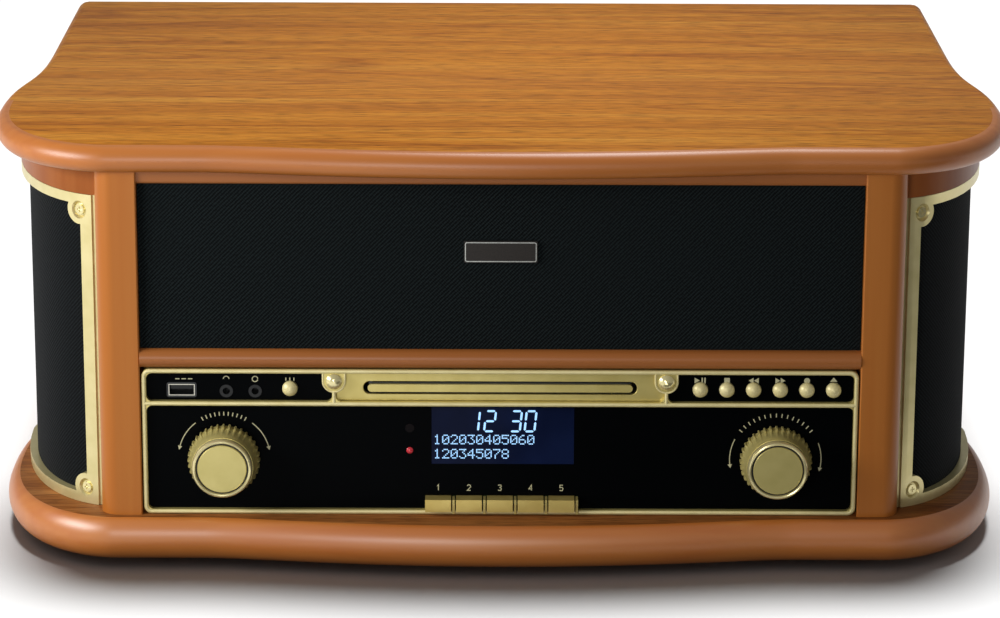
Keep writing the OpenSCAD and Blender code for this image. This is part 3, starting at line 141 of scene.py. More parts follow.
def veneer(name, along, dark, mid, light, seed):
    """Stained ash veneer under satin lacquer: golden bands along the grain with short dark pores."""
    finish, shader = finish_named(name, mid, 0.45, Specular_IOR_Level=0.06)
    bands = streaks(finish, along, 520, 17, 3, seed)        # growth bands, about 17 mm across in flat-cut sheet
    rings = streaks(finish, along, 170, 2.4, 4, seed + 5)   # single rings, 2 to 4 mm
    pores = streaks(finish, along, 13, 0.9, 2, seed + 9)    # pores are 0.2 mm wide; drawn wider so that they show
    both = add(finish, "Mix", {0: 0.42, 2: bands, 3: rings}).outputs[0]
    plain = add(finish, "ValToRGB", {"Fac": both}, stops=[(0.31, dark), (0.67, light), (0.49, mid)]).outputs["Color"]
    # wandering dark lines, where the cut meets a year's end
    figure = streaks(finish, along, 700, 70, 1, seed + 2)
    line_stops = [(0.0, "#ffffff"), (1.0, "#ffffff")]
    for level in (0.4, 0.47, 0.56):
        line_stops += [(level - 0.012, "#ffffff"), (level, "#b98f74"), (level + 0.004, "#ffffff")]
    lines = add(finish, "ValToRGB", {"Fac": figure}, stops=line_stops).outputs["Color"]
    wood = add(finish, "Mix", {0: 0.5, 6: plain, 7: lines}, data_type="RGBA", blend_type="MULTIPLY").outputs[2]
    pore_stops = [(0.36, "#a2a2a2"), (0.62, "#ffffff"), (0.46, "#e6e6e6")]
    specks = add(finish, "ValToRGB", {"Fac": pores}, stops=pore_stops).outputs["Color"]
    stained = add(finish, "Mix", {0: 0.8, 6: wood, 7: specks}, data_type="RGBA", blend_type="MULTIPLY").outputs[2]
    relief = add(finish, "Bump", {"Strength": 0.12, "Distance": 0.0004, "Height": pores}).outputs["Normal"]
    worn = add(finish, "MapRange", {"Value": rings, "To Min": 0.34, "To Max": 0.5}).outputs["Result"]
    wire(finish, shader, Base_Color=stained, Normal=relief, Roughness=worn)
    return finish


def plain_wood(name, along, dark, light, shine, roughness=0.36):
    """Solid wood, sanded, stained and lacquered: plain golden brown with faint lengthwise streaks."""
    finish, shader = finish_named(name, light, roughness, Specular_IOR_Level=shine)
    layers = streaks(finish, along, 260, 9, 2, 3.0)
    wood = add(finish, "ValToRGB", {"Fac": layers}, stops=[(0.3, dark), (0.66, light)]).outputs["Color"]
    relief = add(finish, "Bump", {"Strength": 0.03, "Distance": 0.0003, "Height": layers}).outputs["Normal"]
    wire(finish, shader, Base_Color=wood, Normal=relief)
    return finish


def satin_brass(name, dark, light, roughness, metallic=0.6):
    """Zinc casting, brass plated, blasted satin and lacquered: soft cream highlights, olive in the shade."""
    finish, shader = finish_named(name, light, roughness, Metallic=metallic)
    tone = add(finish, "ValToRGB", {"Fac": speckle(finish, 9)}, stops=[(0.3, dark), (0.7, light)]).outputs["Color"]
    blasting = speckle(finish, 0.4)   # the blasted grain is 0.1 mm fine; drawn coarser so that it shows
    relief = add(finish, "Bump", {"Strength": 0.03, "Distance": 0.0001, "Height": blasting}).outputs["Normal"]
    wire(finish, shader, Base_Color=tone, Normal=relief)
    return finish


def twill_cloth(name, dark, light):
    """Woven polyester loudspeaker cloth: matt near-black twill; the lighter ribs are painted highlight on thread tops.
    """
    finish, shader = finish_named(name, dark, 0.9, Sheen_Weight=0.05, Sheen_Roughness=0.5, Specular_IOR_Level=0.05)
    where = add(finish, "TexCoord").outputs["UV"]
    # threads stand 0.4 mm apart; drawn 1.5 mm apart so that the diagonal ribs show
    ribs = []
    for turn, scale in ((45, 210), (-45, 320)):
        turned_map = add(finish, "Mapping", {"Vector": where, "Rotation": (0, 0, radians(turn))}).outputs["Vector"]
        ribs.append(add(finish, "TexWave", {"Vector": turned_map, "Scale": scale, "Distortion": 0.6, "Detail": 1.0})
                    .outputs["Fac"])
    woven = add(finish, "Mix", {0: 0.3, 2: ribs[0], 3: ribs[1]}).outputs[0]
    slub = add(finish, "Mix", {0: 0.55, 2: woven, 3: speckle(finish, 1.2, place="UV")}).outputs[0]
    # the light stop falls on the ribs: painted highlight on the thread tops, mixed with random slub in the yarn
    tone = add(finish, "ValToRGB", {"Fac": slub}, stops=[(0.4, dark), (0.66, light)]).outputs["Color"]
    relief = add(finish, "Bump", {"Strength": 0.6, "Distance": 0.0003, "Height": woven}).outputs["Normal"]
    wire(finish, shader, Base_Color=tone, Normal=relief)
    return finish


def moulded(name, colour, lighter, roughness, size_mm=0.6, depth=0.08, **sockets):
    """Moulded or painted surface: one colour with a fine even grain of that size."""
    finish, shader = finish_named(name, colour, roughness, **sockets)
    grain = speckle(finish, size_mm)
    tone = add(finish, "ValToRGB", {"Fac": grain}, stops=[(0.35, colour), (0.65, lighter)]).outputs["Color"]
    relief = add(finish, "Bump", {"Strength": depth, "Distance": 0.0002, "Height": grain}).outputs["Normal"]
    wire(finish, shader, Base_Color=tone, Normal=relief)
    return finish


def socket_metal(name, bright_to, shade_from):
    """Nickel-plated steel lip of the stick socket; the jack collars are black plastic, its inside is painted shade."""
    finish, shader = finish_named(name, "#101112", 0.35, Specular_IOR_Level=0.3)
    where = add(finish, "SeparateXYZ", {0: add(finish, "TexCoord").outputs["Object"]}).outputs
    left = add(finish, "Math", {0: where["X"], 1: bright_to}, operation="LESS_THAN").outputs[0]
    # deeper than the lip the stick socket is coloured dark: painted shade inside its opening
    front = add(finish, "Math", {0: where["Y"], 1: shade_from}, operation="LESS_THAN").outputs[0]
    lip = add(finish, "Math", {0: left, 1: front}, operation="MULTIPLY").outputs[0]
    tone = add(finish, "Mix", {0: lip, 6: linear("#141516"), 7: linear("#c9c6ba")}, data_type="RGBA").outputs[2]
    grain = speckle(finish, 0.5)
    relief = add(finish, "Bump", {"Strength": 0.05, "Distance": 0.0001, "Height": grain}).outputs["Normal"]
    wire(finish, shader, Base_Color=tone, Metallic=lip, Normal=relief)
    return finish


def turned_metal(name, dark, light, roughness, along="Z"):
    """Bare or plated metal with faint tool lines along one axis."""
    finish, shader = finish_named(name, light, roughness, Metallic=1.0)
    lines = streaks(finish, along, 20, 0.4, 2, 2.0)
    tone = add(finish, "ValToRGB", {"Fac": lines}, stops=[(0.3, dark), (0.7, light)]).outputs["Color"]
    relief = add(finish, "Bump", {"Strength": 0.05, "Distance": 0.0002, "Height": lines}).outputs["Normal"]
    wire(finish, shader, Base_Color=tone, Normal=relief)
    return finish


top_veneer = veneer("stained_ash_veneer_top", "X", "#a05b15", "#bf7722", "#cf8d33", 1.0)
band_wood = plain_wood("stained_wall_band", "Z", "#8a4a1c", "#945526", 0.15)
post_wood = plain_wood("stained_upright", "Z", "#ad6423", "#b46d2c", 0.3)
rail_wood = plain_wood("stained_rail", "X", "#9a5a28", "#a36331", 0.35)
lid_edge = plain_wood("stained_lid_edge", "X", "#ad6121", "#b66c2a", 0.7, 0.4)
# a lighter copy of the lid's edge wood: the extra brightness is painted light on the base's rolled edge
base_edge = plain_wood("stained_base_edge_painted_light", "X", "#b86828", "#c07431", 1.0, 0.38)
# a darker copy of the top veneer: the grain is its own, the darker tone is partly painted shade under the body
base_face = veneer("ash_veneer_base_painted_shade", "X", "#74401c", "#955b2c", "#b27842", 21.0)
brass = satin_brass("satin_brass_plating", "#c9b86e", "#d3c37b", 0.38)
# a paler copy of the brass for the side frames: the cream paleness is painted highlight
frame_brass = satin_brass("pale_brass_painted_highlight", "#d2c58c", "#dccf99", 0.34)
knob_brass = satin_brass("turned_brass_plating", "#c4b670", "#cdbf7a", 0.36, 0.42)
# a brighter copy of the brass for the domed buttons and the bezel's beads: the extra brightness is painted highlight
button_brass = satin_brass("domed_brass_painted_highlight", "#ddcf93", "#e6d9a1", 0.4, 0.15)
polished_brass = satin_brass("polished_brass_plating", "#dccf95", "#e9dda8", 0.2)
key_brass = satin_brass("satin_brass_keys", "#cdb565", "#dcc676", 0.38)
front_weave = twill_cloth("woven_speaker_cloth", "#040607", "#1d2425")
side_weave = twill_cloth("woven_side_cloth", "#040506", "#181c1e")
# sprayed satin black, barely mirrors
black_panel = moulded("black_lacquered_panel", "#020304", "#040506", 0.35, 0.5, 0.03, Specular_IOR_Level=0.02)
groove_shade = moulded("painted_groove_shade", "#0b0b0a", "#171612", 0.6)   # painted shade in the groove between rim and disc
dark_plastic = moulded("moulded_black_abs", "#15171a", "#1d2023", 0.45)   # fine spark-eroded grain
plate_brown = moulded("brown_anodised_plate", "#191512", "#26201b", 0.35, Metallic=0.4)   # dark with a soft sheen
silver_line = moulded("bright_silver_line", "#a8aaa6", "#c9cac4", 0.3, Metallic=0.9)   # a hairline that glints
print_ink = moulded("cream_screen_print", "#b9b48f", "#c9c49f", 0.6)   # matt printed marks
steel = turned_metal("nickel_plated_steel", "#8f9195", "#c3c5c8", 0.28)
sockets = socket_metal("plated_moulded_sockets_painted_shade", SOCKET_SPLIT_X * 0.001, (FASCIA_Y + 0.5 + FRONT_Y) * 0.001)
aluminium = turned_metal("pressed_aluminium_sheet", "#8d8f92", "#b3b5b8", 0.42, "X")
bearing_brass = turned_metal("turned_brass", "#a97f3a", "#d0a557", 0.3)
platter_metal = turned_metal("cast_dark_aluminium", "#2d2f31", "#4a4c4f", 0.4, "X")
fibreboard = moulded("stained_fibreboard", "#2a1f18", "#3a2c22", 0.8, 1.2, 0.3)   # pressed fibres, matt
rubber = moulded("moulded_black_rubber", "#141414", "#1d1d1d", 0.75)   # matt, no clear highlight
board_green = moulded("green_circuit_board", "#1b5231", "#26693f", 0.45, 3.0)   # green lacquer over copper
# smooth acrylic, dark blue
screen_glass = moulded("tinted_display_window", "#0c142e", "#121c3c", 0.2, 30.0, 0.0, Specular_IOR_Level=0.06)
# the same, smoked almost black with a trace of red
sensor_tint = moulded("smoked_sensor_window", "#070405", "#0d0708", 0.2, 4.0, 0.0, Specular_IOR_Level=0.06)
cartridge_red = moulded("moulded_red_plastic", "#8e1f1c", "#a52a25", 0.35)   # plain gloss plastic
cone_paper = moulded("pressed_paper_cone", "#1d1d1f", "#2b2b2d", 0.8, 1.5, 0.3)   # pressed pulp, rough and matt

# lenses lit from behind, faintly mottled by the plastic that spreads the light
lamp_red, lamp_shader = finish_named("diffusing_red_lens", "#b3202c", 0.15, Emission_Strength=0.12)
lamp_shader.inputs["Emission Color"].default_value = linear("#ff4a55")
lamp_mottle = add(lamp_red, "ValToRGB", {"Fac": speckle(lamp_red, 1.2)}, stops=[(0.3, "#9c1722"), (0.7, "#c92f3c")])
wire(lamp_red, lamp_shader, Base_Color=lamp_mottle.outputs["Color"])
lit_blue, lit_shader = finish_named("lit_display_dots", "#9fd0ff", 0.5, Emission_Strength=0.75)
lit_shader.inputs["Emission Color"].default_value = linear("#9fd0ff")
lit_tone = add(lit_blue, "ValToRGB", {"Fac": speckle(lit_blue, 0.8)}, stops=[(0.3, "#8cc2f8"), (0.7, "#b4dcff")])
wire(lit_blue, lit_shader, Base_Color=lit_tone.outputs["Color"])


# ---------------------------------------------------------------- making pieces

def piece(name, points, faces, finishes, body="case", replaces=(), slot=None, face_finish=None, sharp=30, uvs=None):
    """A closed mesh from points in case millimetres, with its finishes; it rides on a body."""
    mesh = bpy.data.meshes.new(name)
    mesh.from_pydata([at(*p) for p in points], [], faces)
    for i, f in enumerate(face_finish or []):
        mesh.polygons[i].material_index = f
    made = bpy.data.objects.new(name, mesh)
    bpy.context.scene.collection.objects.link(made)
    for f in finishes:
        mesh.materials.append(f)
    if uvs:
        layer = mesh.uv_layers.new(name="cloth")
        for loop in mesh.loops:
            layer.data[loop.index].uv = uvs[loop.vertex_index]
    work = bmesh.new()
    work.from_mesh(mesh)
    bmesh.ops.recalc_face_normals(work, faces=work.faces)
    work.to_mesh(mesh)
    work.free()
    mesh.shade_smooth()
    mesh.set_sharp_from_angle(angle=radians(sharp))
    if replaces:
        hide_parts(*replaces)
    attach(made, body)
    return made


def joined(parts):
    """Several closed shapes, each points and faces, as one list of points and one of faces."""
    points, faces = [], []
    for p, f in parts:
        n = len(points)
        points += p
        faces += [[i + n for i in face] for face in f]
    return points, faces


def stacked(rings, cap=True):
    """A closed skin over rings of equal length, with flat ends."""
    n = len(rings[0])
    points = [p for ring in rings for p in ring]
    faces = [[k * n + i, k * n + (i + 1) % n, (k + 1) * n + (i + 1) % n, (k + 1) * n + i]
             for k in range(len(rings) - 1) for i in range(n)]
    if cap:
        faces += [list(range(n))[::-1], [(len(rings) - 1) * n + i for i in range(n)]]
    else:
        faces += [[(len(rings) - 1) * n + i, (len(rings) - 1) * n + (i + 1) % n, (i + 1) % n, i] for i in range(n)]
    return points, faces


def along_y(shape, y0, y1):
    """A flat outline in X and Z as a thin plate between two depths."""
    return stacked([[(x, y0, z) for x, z in shape], [(x, y1, z) for x, z in shape]])


def stroke(line, width, y0, y1, closed=False):
    """A flat line of even width on the panel, as a thin plate."""
    n, left, right = len(line), [], []
    for i, (x, z) in enumerate(line):
        a = line[i - 1] if (i or closed) else line[0]
        b = line[(i + 1) % n] if (i < n - 1 or closed) else line[-1]
        d1, d2 = Vector((x - a[0], z - a[1])), Vector((b[0] - x, b[1] - z))
        d1, d2 = (d1 if d1.length else d2).normalized(), (d2 if d2.length else d1).normalized()
        way = (d1 + d2).normalized()
        reach = width / 2 / max(0.35, way.dot(d1))
        left.append((x - way.y * reach, z + way.x * reach))
        right.append((x + way.y * reach, z - way.x * reach))
    corners = [[(l[0], y0, l[1]), (r[0], y0, r[1]), (r[0], y1, r[1]), (l[0], y1, l[1])] for l, r in zip(left, right)]
    return stacked(corners, cap=False) if closed else stacked(corners)


def bead(line, radius, y_back, closed=False):
    """A half-round bead along a line on the panel's face, standing toward the front."""
    n, rings = len(line), []
    for i, (x, z) in enumerate(line):
        a = line[i - 1] if (i or closed) else line[0]
        b = line[(i + 1) % n] if (i < n - 1 or closed) else line[-1]
        way = Vector((b[0] - a[0], b[1] - a[1])).normalized()
        d1 = Vector((x - a[0], z - a[1]))
        reach = radius / max(0.5, way.dot(d1.normalized())) if d1.length else radius
        ring = [(x - way.y * reach * cos(t), y_back - radius * 0.8 * sin(t), z + way.x * reach * cos(t))
                for t in (pi * k / BEAD_STEPS for k in range(BEAD_STEPS + 1))]
        rings.append(ring)
    return stacked(rings, cap=False) if closed else stacked(rings)


def arc(cx, cz, r, a0, a1, steps=24):
    return [(cx + r * cos(radians(a0 + (a1 - a0) * k / steps)), cz + r * sin(radians(a0 + (a1 - a0) * k / steps)))
            for k in range(steps + 1)]


def round_box(x0, x1, z0, z1, r, steps=6):
    """The outline of a box with round corners, running round once."""
    line = []
    for cx, cz, a in ((x1 - r, z0 + r, -90), (x1 - r, z1 - r, 0), (x0 + r, z1 - r, 90), (x0 + r, z0 + r, 180)):
        line += arc(cx, cz, r, a, a + 90, steps)
    return line


# plan curves, chains of cubic curves from the back to the front on the right half
def on_curve(p, t):
    u = 1 - t
    return [u * u * u * p[0][k] + 3 * u * u * t * p[1][k] + 3 * u * t * t * p[2][k] + t * t * t * p[3][k]
            for k in (0, 1)]


def plan_line(curves, steps, out):
    line = []
    for c, (p, n) in enumerate(zip(curves, steps)):
        for i in range(n + (c == len(curves) - 1)):
            t = i / n
            x, y = on_curve(p, t)
            (ax, ay), (bx, by) = on_curve(p, max(0, t - 0.002)), on_curve(p, min(1, t + 0.002))
            way = Vector((bx - ax, by - ay)).normalized()
            line.append((x - way.y * out, y + way.x * out))
    return line


def straight(a, b):
    return [a, tuple((2 * a[k] + b[k]) / 3 for k in (0, 1)), tuple((a[k] + 2 * b[k]) / 3 for k in (0, 1)), b]


def slab_outline(front, out):
    curves = [straight((BACK_HALF, CASE_D), (BACK_HALF, WAIST_Y)),
              [(BACK_HALF, WAIST_Y), (BACK_HALF, WAIST_Y - WAIST_LEAD),
               (HIP_HALF, HIP_Y + HIP_LEAD), (HIP_HALF, HIP_Y)],
              [(HIP_HALF, HIP_Y), (HIP_HALF, front + CORNER_LEAD),
               (FLAT_HALF + CORNER_LEAD, front), (FLAT_HALF, front)],
              straight((FLAT_HALF, front), (BOW_HALF, front)),
              [(BOW_HALF, front), (BOW_HALF - BOW_LEAD, front), (BOW_PULL, front - BOW_D), (0, front - BOW_D)]]
    half = plan_line(curves, (4, 20, 32, 3, 20), out)
    whole = half + [(-x, y) for x, y in half[-2::-1]]
    return [(x, min(y, CASE_D)) for x, y in whole]


def rolled_slab(name, front, z0, t, nose, a_top, a_low, flat, edge, body, node):
    """Lid or base: veneered faces and a rolled edge that meets the top in a crisp crest."""
    layers, rings = 18, []
    for k in range(layers + 1):
        a = radians(a_low + (a_top - a_low) * k / layers)
        low, top = radians(a_low), radians(a_top)
        out = nose * (cos(a) - cos(top)) / (1 - cos(top))
        z = z0 + t * (sin(a) - sin(low)) / (sin(top) - sin(low))
        rings.append([(x, y, z) for x, y in slab_outline(front, out)])
    crest = [(x, y, z0 + t) for x, y in slab_outline(front, -CREST_IN)]
    rings[-1] = [(x, y, z - CREST_DROP) for x, y, z in rings[-1]]
    rings.append(crest)
    points, faces = stacked(rings)
    # behind its widest place the lid's veneer runs on over the upper part of the roll
    which = [0 if node == "lid" and y > HIP_Y
             and k > layers * (1 - RUN_ON_SHARE * min(1, (y - HIP_Y) / RUN_ON_LENGTH)) else 1
             for k in range(layers + 1) for x, y, z in rings[0]] + [1, 0]
    return piece(name, points, faces, [flat, edge], body, (node,), "case_wood", which, sharp=38)


rolled_slab("lid_board", 0, LID_Z, LID_T, LID_NOSE, 80, -60, top_veneer, lid_edge, "lid", "lid")
rolled_slab("base_slab", -BASE_STEP, FOOT_H, BASE_T, BASE_NOSE, 60, -70, base_face, base_edge, "case", "base_board")


# front posts and rails
def post_outline(side):
    line = [(POST_IN, POST_D), (POST_IN, POST_CHAMFER), (POST_IN + POST_CHAMFER, 0)]
    line += [(POST_OUT - POST_R + POST_R * sin(a), POST_R - POST_R * cos(a))
             for a in (pi / 2 * k / 10 for k in range(11))]
    return [(x * side, y) for x, y in line + [(POST_OUT, POST_D)]]


posts = joined([stacked([[(x, y, z) for x, y in post_outline(side)] for z in (BASE_Z, CASE_Z)]) for side in (-1, 1)])
piece("front_posts", *posts, [post_wood], replaces=("front_frame",), slot="front_wood")


def cross_rail(name, profile, half, finish):
    return piece(name, *stacked([[(x, y, z) for y, z in profile] for x in (-half, half)]), [finish],
                 replaces=("front_frame",), slot="front_wood")


lip = [(RAIL_Y + LIP_R - LIP_R * cos(a), GRILLE_Z1 + LIP_R - LIP_R * sin(a))
       for a in (pi / 2 * k / 8 for k in range(9))]
cross_rail("upper_rail", [(RAIL_BACK, CASE_Z), (RAIL_Y, CASE_Z)] + lip + [(RAIL_BACK, GRILLE_Z1)], POST_IN, rail_wood)
half_round = [(GRILLE_Y - MIDDLE_H / 2 * cos(a), MIDDLE_Z + MIDDLE_H / 2 + MIDDLE_H / 2 * sin(a))
              for a in (pi * k / 16 - pi / 2 for k in range(17))]
cross_rail("middle_rail", [(RAIL_BACK, GRILLE_Z0), (RAIL_BACK, MIDDLE_Z)] + half_round, POST_IN, rail_wood)


# front grille: a board with cloth stretched over its face
def stretched_sheet(name, face_line, back_line, z0, z1, finish, node):
    """A thin closed sheet over a plan line; returns it with its width and height in metres."""
    rows = 12
    points, uvs, n = [], [], len(face_line)
    run = [0.0]
    for a, b in zip(face_line, face_line[1:]):
        run.append(run[-1] + hypot(b[0] - a[0], b[1] - a[1]))
    for line in (face_line, back_line):
        for k in range(rows + 1):
            z = z0 + (z1 - z0) * k / rows
            for i, (x, y) in enumerate(line):
                points.append((x, y, z))
                uvs.append((run[i] * 0.001, z * 0.001))
    w = (rows + 1) * n

    def cell(k, i, s):
        return s * w + k * n + i

    faces = [[cell(k, i, 0), cell(k, i + 1, 0), cell(k + 1, i + 1, 0), cell(k + 1, i, 0)]
             for k in range(rows) for i in range(n - 1)]
    faces += [[cell(k, i, 1), cell(k + 1, i, 1), cell(k + 1, i + 1, 1), cell(k, i + 1, 1)]
              for k in range(rows) for i in range(n - 1)]
    for k in (0, rows):
        faces += [[cell(k, i, 0), cell(k, i, 1), cell(k, i + 1, 1), cell(k, i + 1, 0)] for i in range(n - 1)]
    for i in (0, n - 1):
        faces += [[cell(k, i, 0), cell(k + 1, i, 0), cell(k + 1, i, 1), cell(k, i, 1)] for k in range(rows)]
    made = piece(name, points, faces, [finish], "case", (node,), "cloth", uvs=uvs)
    return made, run[-1] * 0.001, (z1 - z0) * 0.001


GX = POST_IN - 0.3
piece("grille_board", *along_y([(-GX, GRILLE_Z0), (GX, GRILLE_Z0), (GX, GRILLE_Z1), (-GX, GRILLE_Z1)],
                               GRILLE_Y + FRONT_CLOTH_T + 0.05, GRILLE_Y + GRILLE_T), [fibreboard],
      replaces=("front_grille",), slot="fibreboard")
across = [(-GX + 2 * GX * i / 48, GRILLE_Y) for i in range(49)]
# the cloth eases back a little where it turns round the board's ends
across[0], across[-1] = (-GX, GRILLE_Y + CLOTH_EASE), (GX, GRILLE_Y + CLOTH_EASE)
behind = [(x, GRILLE_Y + FRONT_CLOTH_T) for x, y in across]
front_cloth, cloth_w, cloth_h = stretched_sheet("front_cloth", across, behind, GRILLE_Z0, GRILLE_Z1, front_weave,
                                                "front_grille")


# curved side cloths
def side_outline(out):
    back, hip = BACK_HALF - SIDE_IN, HIP_HALF - SIDE_IN
    lead_x, lead_y = SIDE_END_LEAD
    curves = [straight((back, SIDE_BACK_Y), (back, WAIST_Y)),
              [(back, WAIST_Y), (back, WAIST_Y - SIDE_WAIST_LEAD),
               (hip, SIDE_HIP_Y + SIDE_HIP_LEAD), (hip, SIDE_HIP_Y)],
              [(hip, SIDE_HIP_Y), (hip, SIDE_HIP_Y - SIDE_HIP_FRONT),
               (POST_OUT + lead_x, lead_y), (POST_OUT, SIDE_FRONT_Y)]]
    return plan_line(curves, (10, 20, 28), out)


for side, word in ((-1, "left"), (1, "right")):
    keep = [i for i, (x, y) in enumerate(side_outline(0)) if y < GRILLE_END_Y and x > POST_OUT + 0.6]
    lines = (side_outline(out) for out in (CLOTH_T - RECESS_D, -RECESS_D + 0.05))
    outer, inner = ([(side * line[i][0], line[i][1]) for i in keep] for line in lines)
    cloth, w, h = stretched_sheet("side_cloth_" + word, outer, inner, SIDE_Z0, SIDE_Z1, side_weave, "side_cloths")

# blank name plate: its dark face stays, with a thin bright border
plate_line = round_box(-PLATE_W / 2 + PLATE_IN, PLATE_W / 2 - PLATE_IN,
                       PLATE_Z - PLATE_H / 2 + PLATE_IN, PLATE_Z + PLATE_H / 2 - PLATE_IN, 0.8, 4)
piece("plate_border", *stroke(plate_line, 0.45, PLATE_Y0, PLATE_Y1, closed=True), [silver_line], slot="steel")


# knobs: a ridged skirt, a polished rim, a groove darkened as painted shade and a satin disc, each turned on the shaft's
# axis
def turned(x, profile, steps, ridge=None):
    """A turned shape from its profile, pairs of radius and height above the knob's back."""
    rings = []
    for r, h in profile:
        ring = []
        for k in range(steps):
            a = 2 * pi * k / steps
            grow = ridge(k, h) if ridge else 0
            ring.append((x + (r + grow) * cos(a), KNOB_BACK - h, KNOB_Z + (r + grow) * sin(a)))
        rings.append(ring)
    return stacked(rings)


def skirt_ridge(k, h):
    """Each ridge is two of its eight steps wide; it stands full on the skirt and runs out along the cone."""
    if k % RIDGE_STEPS not in (0, 1, RIDGE_STEPS - 1) or h < RIDGE_FROM or h > RIDGE_TO:
        return 0
    return RIDGE_H if h < RIDGE_FULL else RIDGE_H * (1 - RIDGE_FADE * (h - RIDGE_FULL))


for x, word in ((-KNOB_X, "volume"), (KNOB_X, "tuning")):
    body = word + "_turn"
    skirt = [(KNOB_R - 0.5, 0.0), (KNOB_R, 0.3), (KNOB_R, 0.4), (KNOB_R, 4.7), (KNOB_R, 4.8), (KNOB_R - 0.3, 5.6),
             (KNOB_R - 0.8, 7.2), (RIM_R + 1.1, 11.0), (RIM_R + 0.7, 13.2), (RIM_R + 0.2, 15.0)]
    piece(word + "_knob_skirt", *turned(x, skirt, RIDGES * RIDGE_STEPS, skirt_ridge), [knob_brass], body,
          (word + "_knob",), "knob_brass", sharp=32)
    rim = [(RIM_R, 14.9), (RIM_R, 16.4), (RIM_R - 0.25, 17.5), (RIM_R - 0.8, 18.2), (RIM_R - 1.3, 18.4),
           (RIM_R - 1.8, 18.2), (RIM_R - 2.1, 17.6), (RIM_R - 2.2, 16.0)]
    piece(word + "_knob_rim", *turned(x, rim, 144), [polished_brass], body, (word + "_knob",), "knob_brass")
    groove = [(RIM_R - 2.0, 15.8), (RIM_R - 2.0, 16.9), (RIM_R - 3.1, 16.9)]
    piece(word + "_knob_groove", *turned(x, groove, 96), [groove_shade], body, (word + "_knob",), "dark_plastic")
    disc = [(RIM_R - 2.9, 16.5), (RIM_R - 2.9, 17.7), (RIM_R - 3.2, 18.0), (RIM_R - 6, 18.1), (1, 18.12)]
    piece(word + "_knob_disc", *turned(x, disc, 96), [knob_brass], body, (word + "_knob",), "knob_brass")

# record mat with its grooves, also as pairs of radius and height
mat = [(SHAFT_R + 0.4, 0), (SHAFT_R + 0.4, 1.2), (52, 1.2), (52.4, MAT_T)]
for r in range(58, 134, 9):
    mat += [(r - 0.6, MAT_T), (r, MAT_T - 0.7), (r + 0.6, MAT_T)]
mat += [(MAT_R - 1.2, MAT_T), (MAT_R, MAT_T - 0.8), (MAT_R, 0)]
mat_rings = [[(PLATTER_X + r * cos(2 * pi * k / MAT_STEPS), PLATTER_Y + r * sin(2 * pi * k / MAT_STEPS), MAT_Z + h)
              for k in range(MAT_STEPS)] for r, h in mat]
piece("ribbed_record_mat", *stacked(mat_rings, cap=False), [rubber], "platter", ("platter_mat",), "rubber")

# bright beads on the bezel's border, divider and bars, and round its two lobes, lightened as painted highlight
front = BEZEL_Y + 0.05
r = BEZEL_RAIL / 2 - 0.1
x1, z0, z1 = BEZEL_X - BEZEL_RAIL / 2, BEZEL_Z + BEZEL_RAIL / 2, BEZEL_Z + BEZEL_H - BEZEL_RAIL / 2
middle = DIVIDER_Z + BEZEL_RAIL / 2
beads = [bead(round_box(-x1, x1, z0, z1, 3, 6), r, front, closed=True), bead([(-x1, middle), (x1, middle)], r, front)]
beads += [bead([(s * LOBE_X, middle), (s * LOBE_X, STUD_Z - LOBE_R - 0.1)], 0.8, front) for s in (-1, 1)]
for s in (-1, 1):
    x = s * LOBE_X
    beads.append(bead([(x - LOBE_R, z1)] + arc(x, STUD_Z, LOBE_R, 180, 360, 16) + [(x + LOBE_R, z1)], 0.5, front))
piece("bezel_beads", *joined(beads), [button_brass], slot="brass", sharp=50)

# printed marks on the black panel: arrows, dial ticks, symbols and plain numbers
INK0, INK1 = FASCIA_Y - 0.06, FASCIA_Y + 0.04
ARROW_R, TICK_R0, TICK_R1 = 23, 22.0, 24.0
NUMERAL_W, NUMERAL_H, NUMERAL_Z = 1.7, 2.9, 40.5
MARK_Z, MARK_H = 97.3, 3.0


def ink(line, width=0.45):
    return stroke(line, width, INK0, INK1)


def ink_shape(shape):
    return along_y(shape, INK0, INK1)


def arrow_arc(cx, a0, a1):
    """A curved arrow round a knob, with its head at the second angle."""
    tip = radians(a1 + (5 if a1 > a0 else -5))
    head = [(cx + ARROW_R * cos(tip), KNOB_Z + ARROW_R * sin(tip))]
    head += [(cx + (ARROW_R + e) * cos(radians(a1)), KNOB_Z + (ARROW_R + e) * sin(radians(a1))) for e in (1.1, -1.1)]
    return [ink(arc(cx, KNOB_Z, ARROW_R, a0, a1)), ink_shape(head)]


def dial_ticks(cx, a0, a1, count):
    line = []
    for k in range(count):
        a = radians(a0 + (a1 - a0) * k / (count - 1))
        line.append(ink([(cx + r * cos(a), KNOB_Z + r * sin(a)) for r in (TICK_R0, TICK_R1)], 0.5))
    return line


NUMERALS = {"1": [[(0.2, 0.75), (0.55, 1), (0.55, 0)]],
            "2": [[(0, 0.8), (0.2, 1), (0.75, 1), (0.95, 0.8), (0.95, 0.62), (0, 0), (1, 0)]],
            "3": [[(0, 0.9), (0.25, 1), (0.8, 1), (0.95, 0.78), (0.7, 0.54), (0.35, 0.54)],
                  [(0.7, 0.54), (0.98, 0.3), (0.8, 0), (0.2, 0), (0, 0.12)]],
            "4": [[(0.75, 0), (0.75, 1), (0, 0.3), (1, 0.3)]],
            "5": [[(0.95, 1), (0.1, 1), (0.05, 0.56), (0.7, 0.6), (0.98, 0.35), (0.8, 0), (0.2, 0), (0, 0.1)]]}


def numeral(digit, x):
    return [ink([(x - NUMERAL_W / 2 + NUMERAL_W * u, NUMERAL_Z - NUMERAL_H / 2 + NUMERAL_H * v) for u, v in line], 0.42)
            for line in NUMERALS[digit]]


def triangle(x, w):
    return ink_shape([(x - w / 2, MARK_Z - MARK_H / 2), (x + w / 2, MARK_Z), (x - w / 2, MARK_Z + MARK_H / 2)])


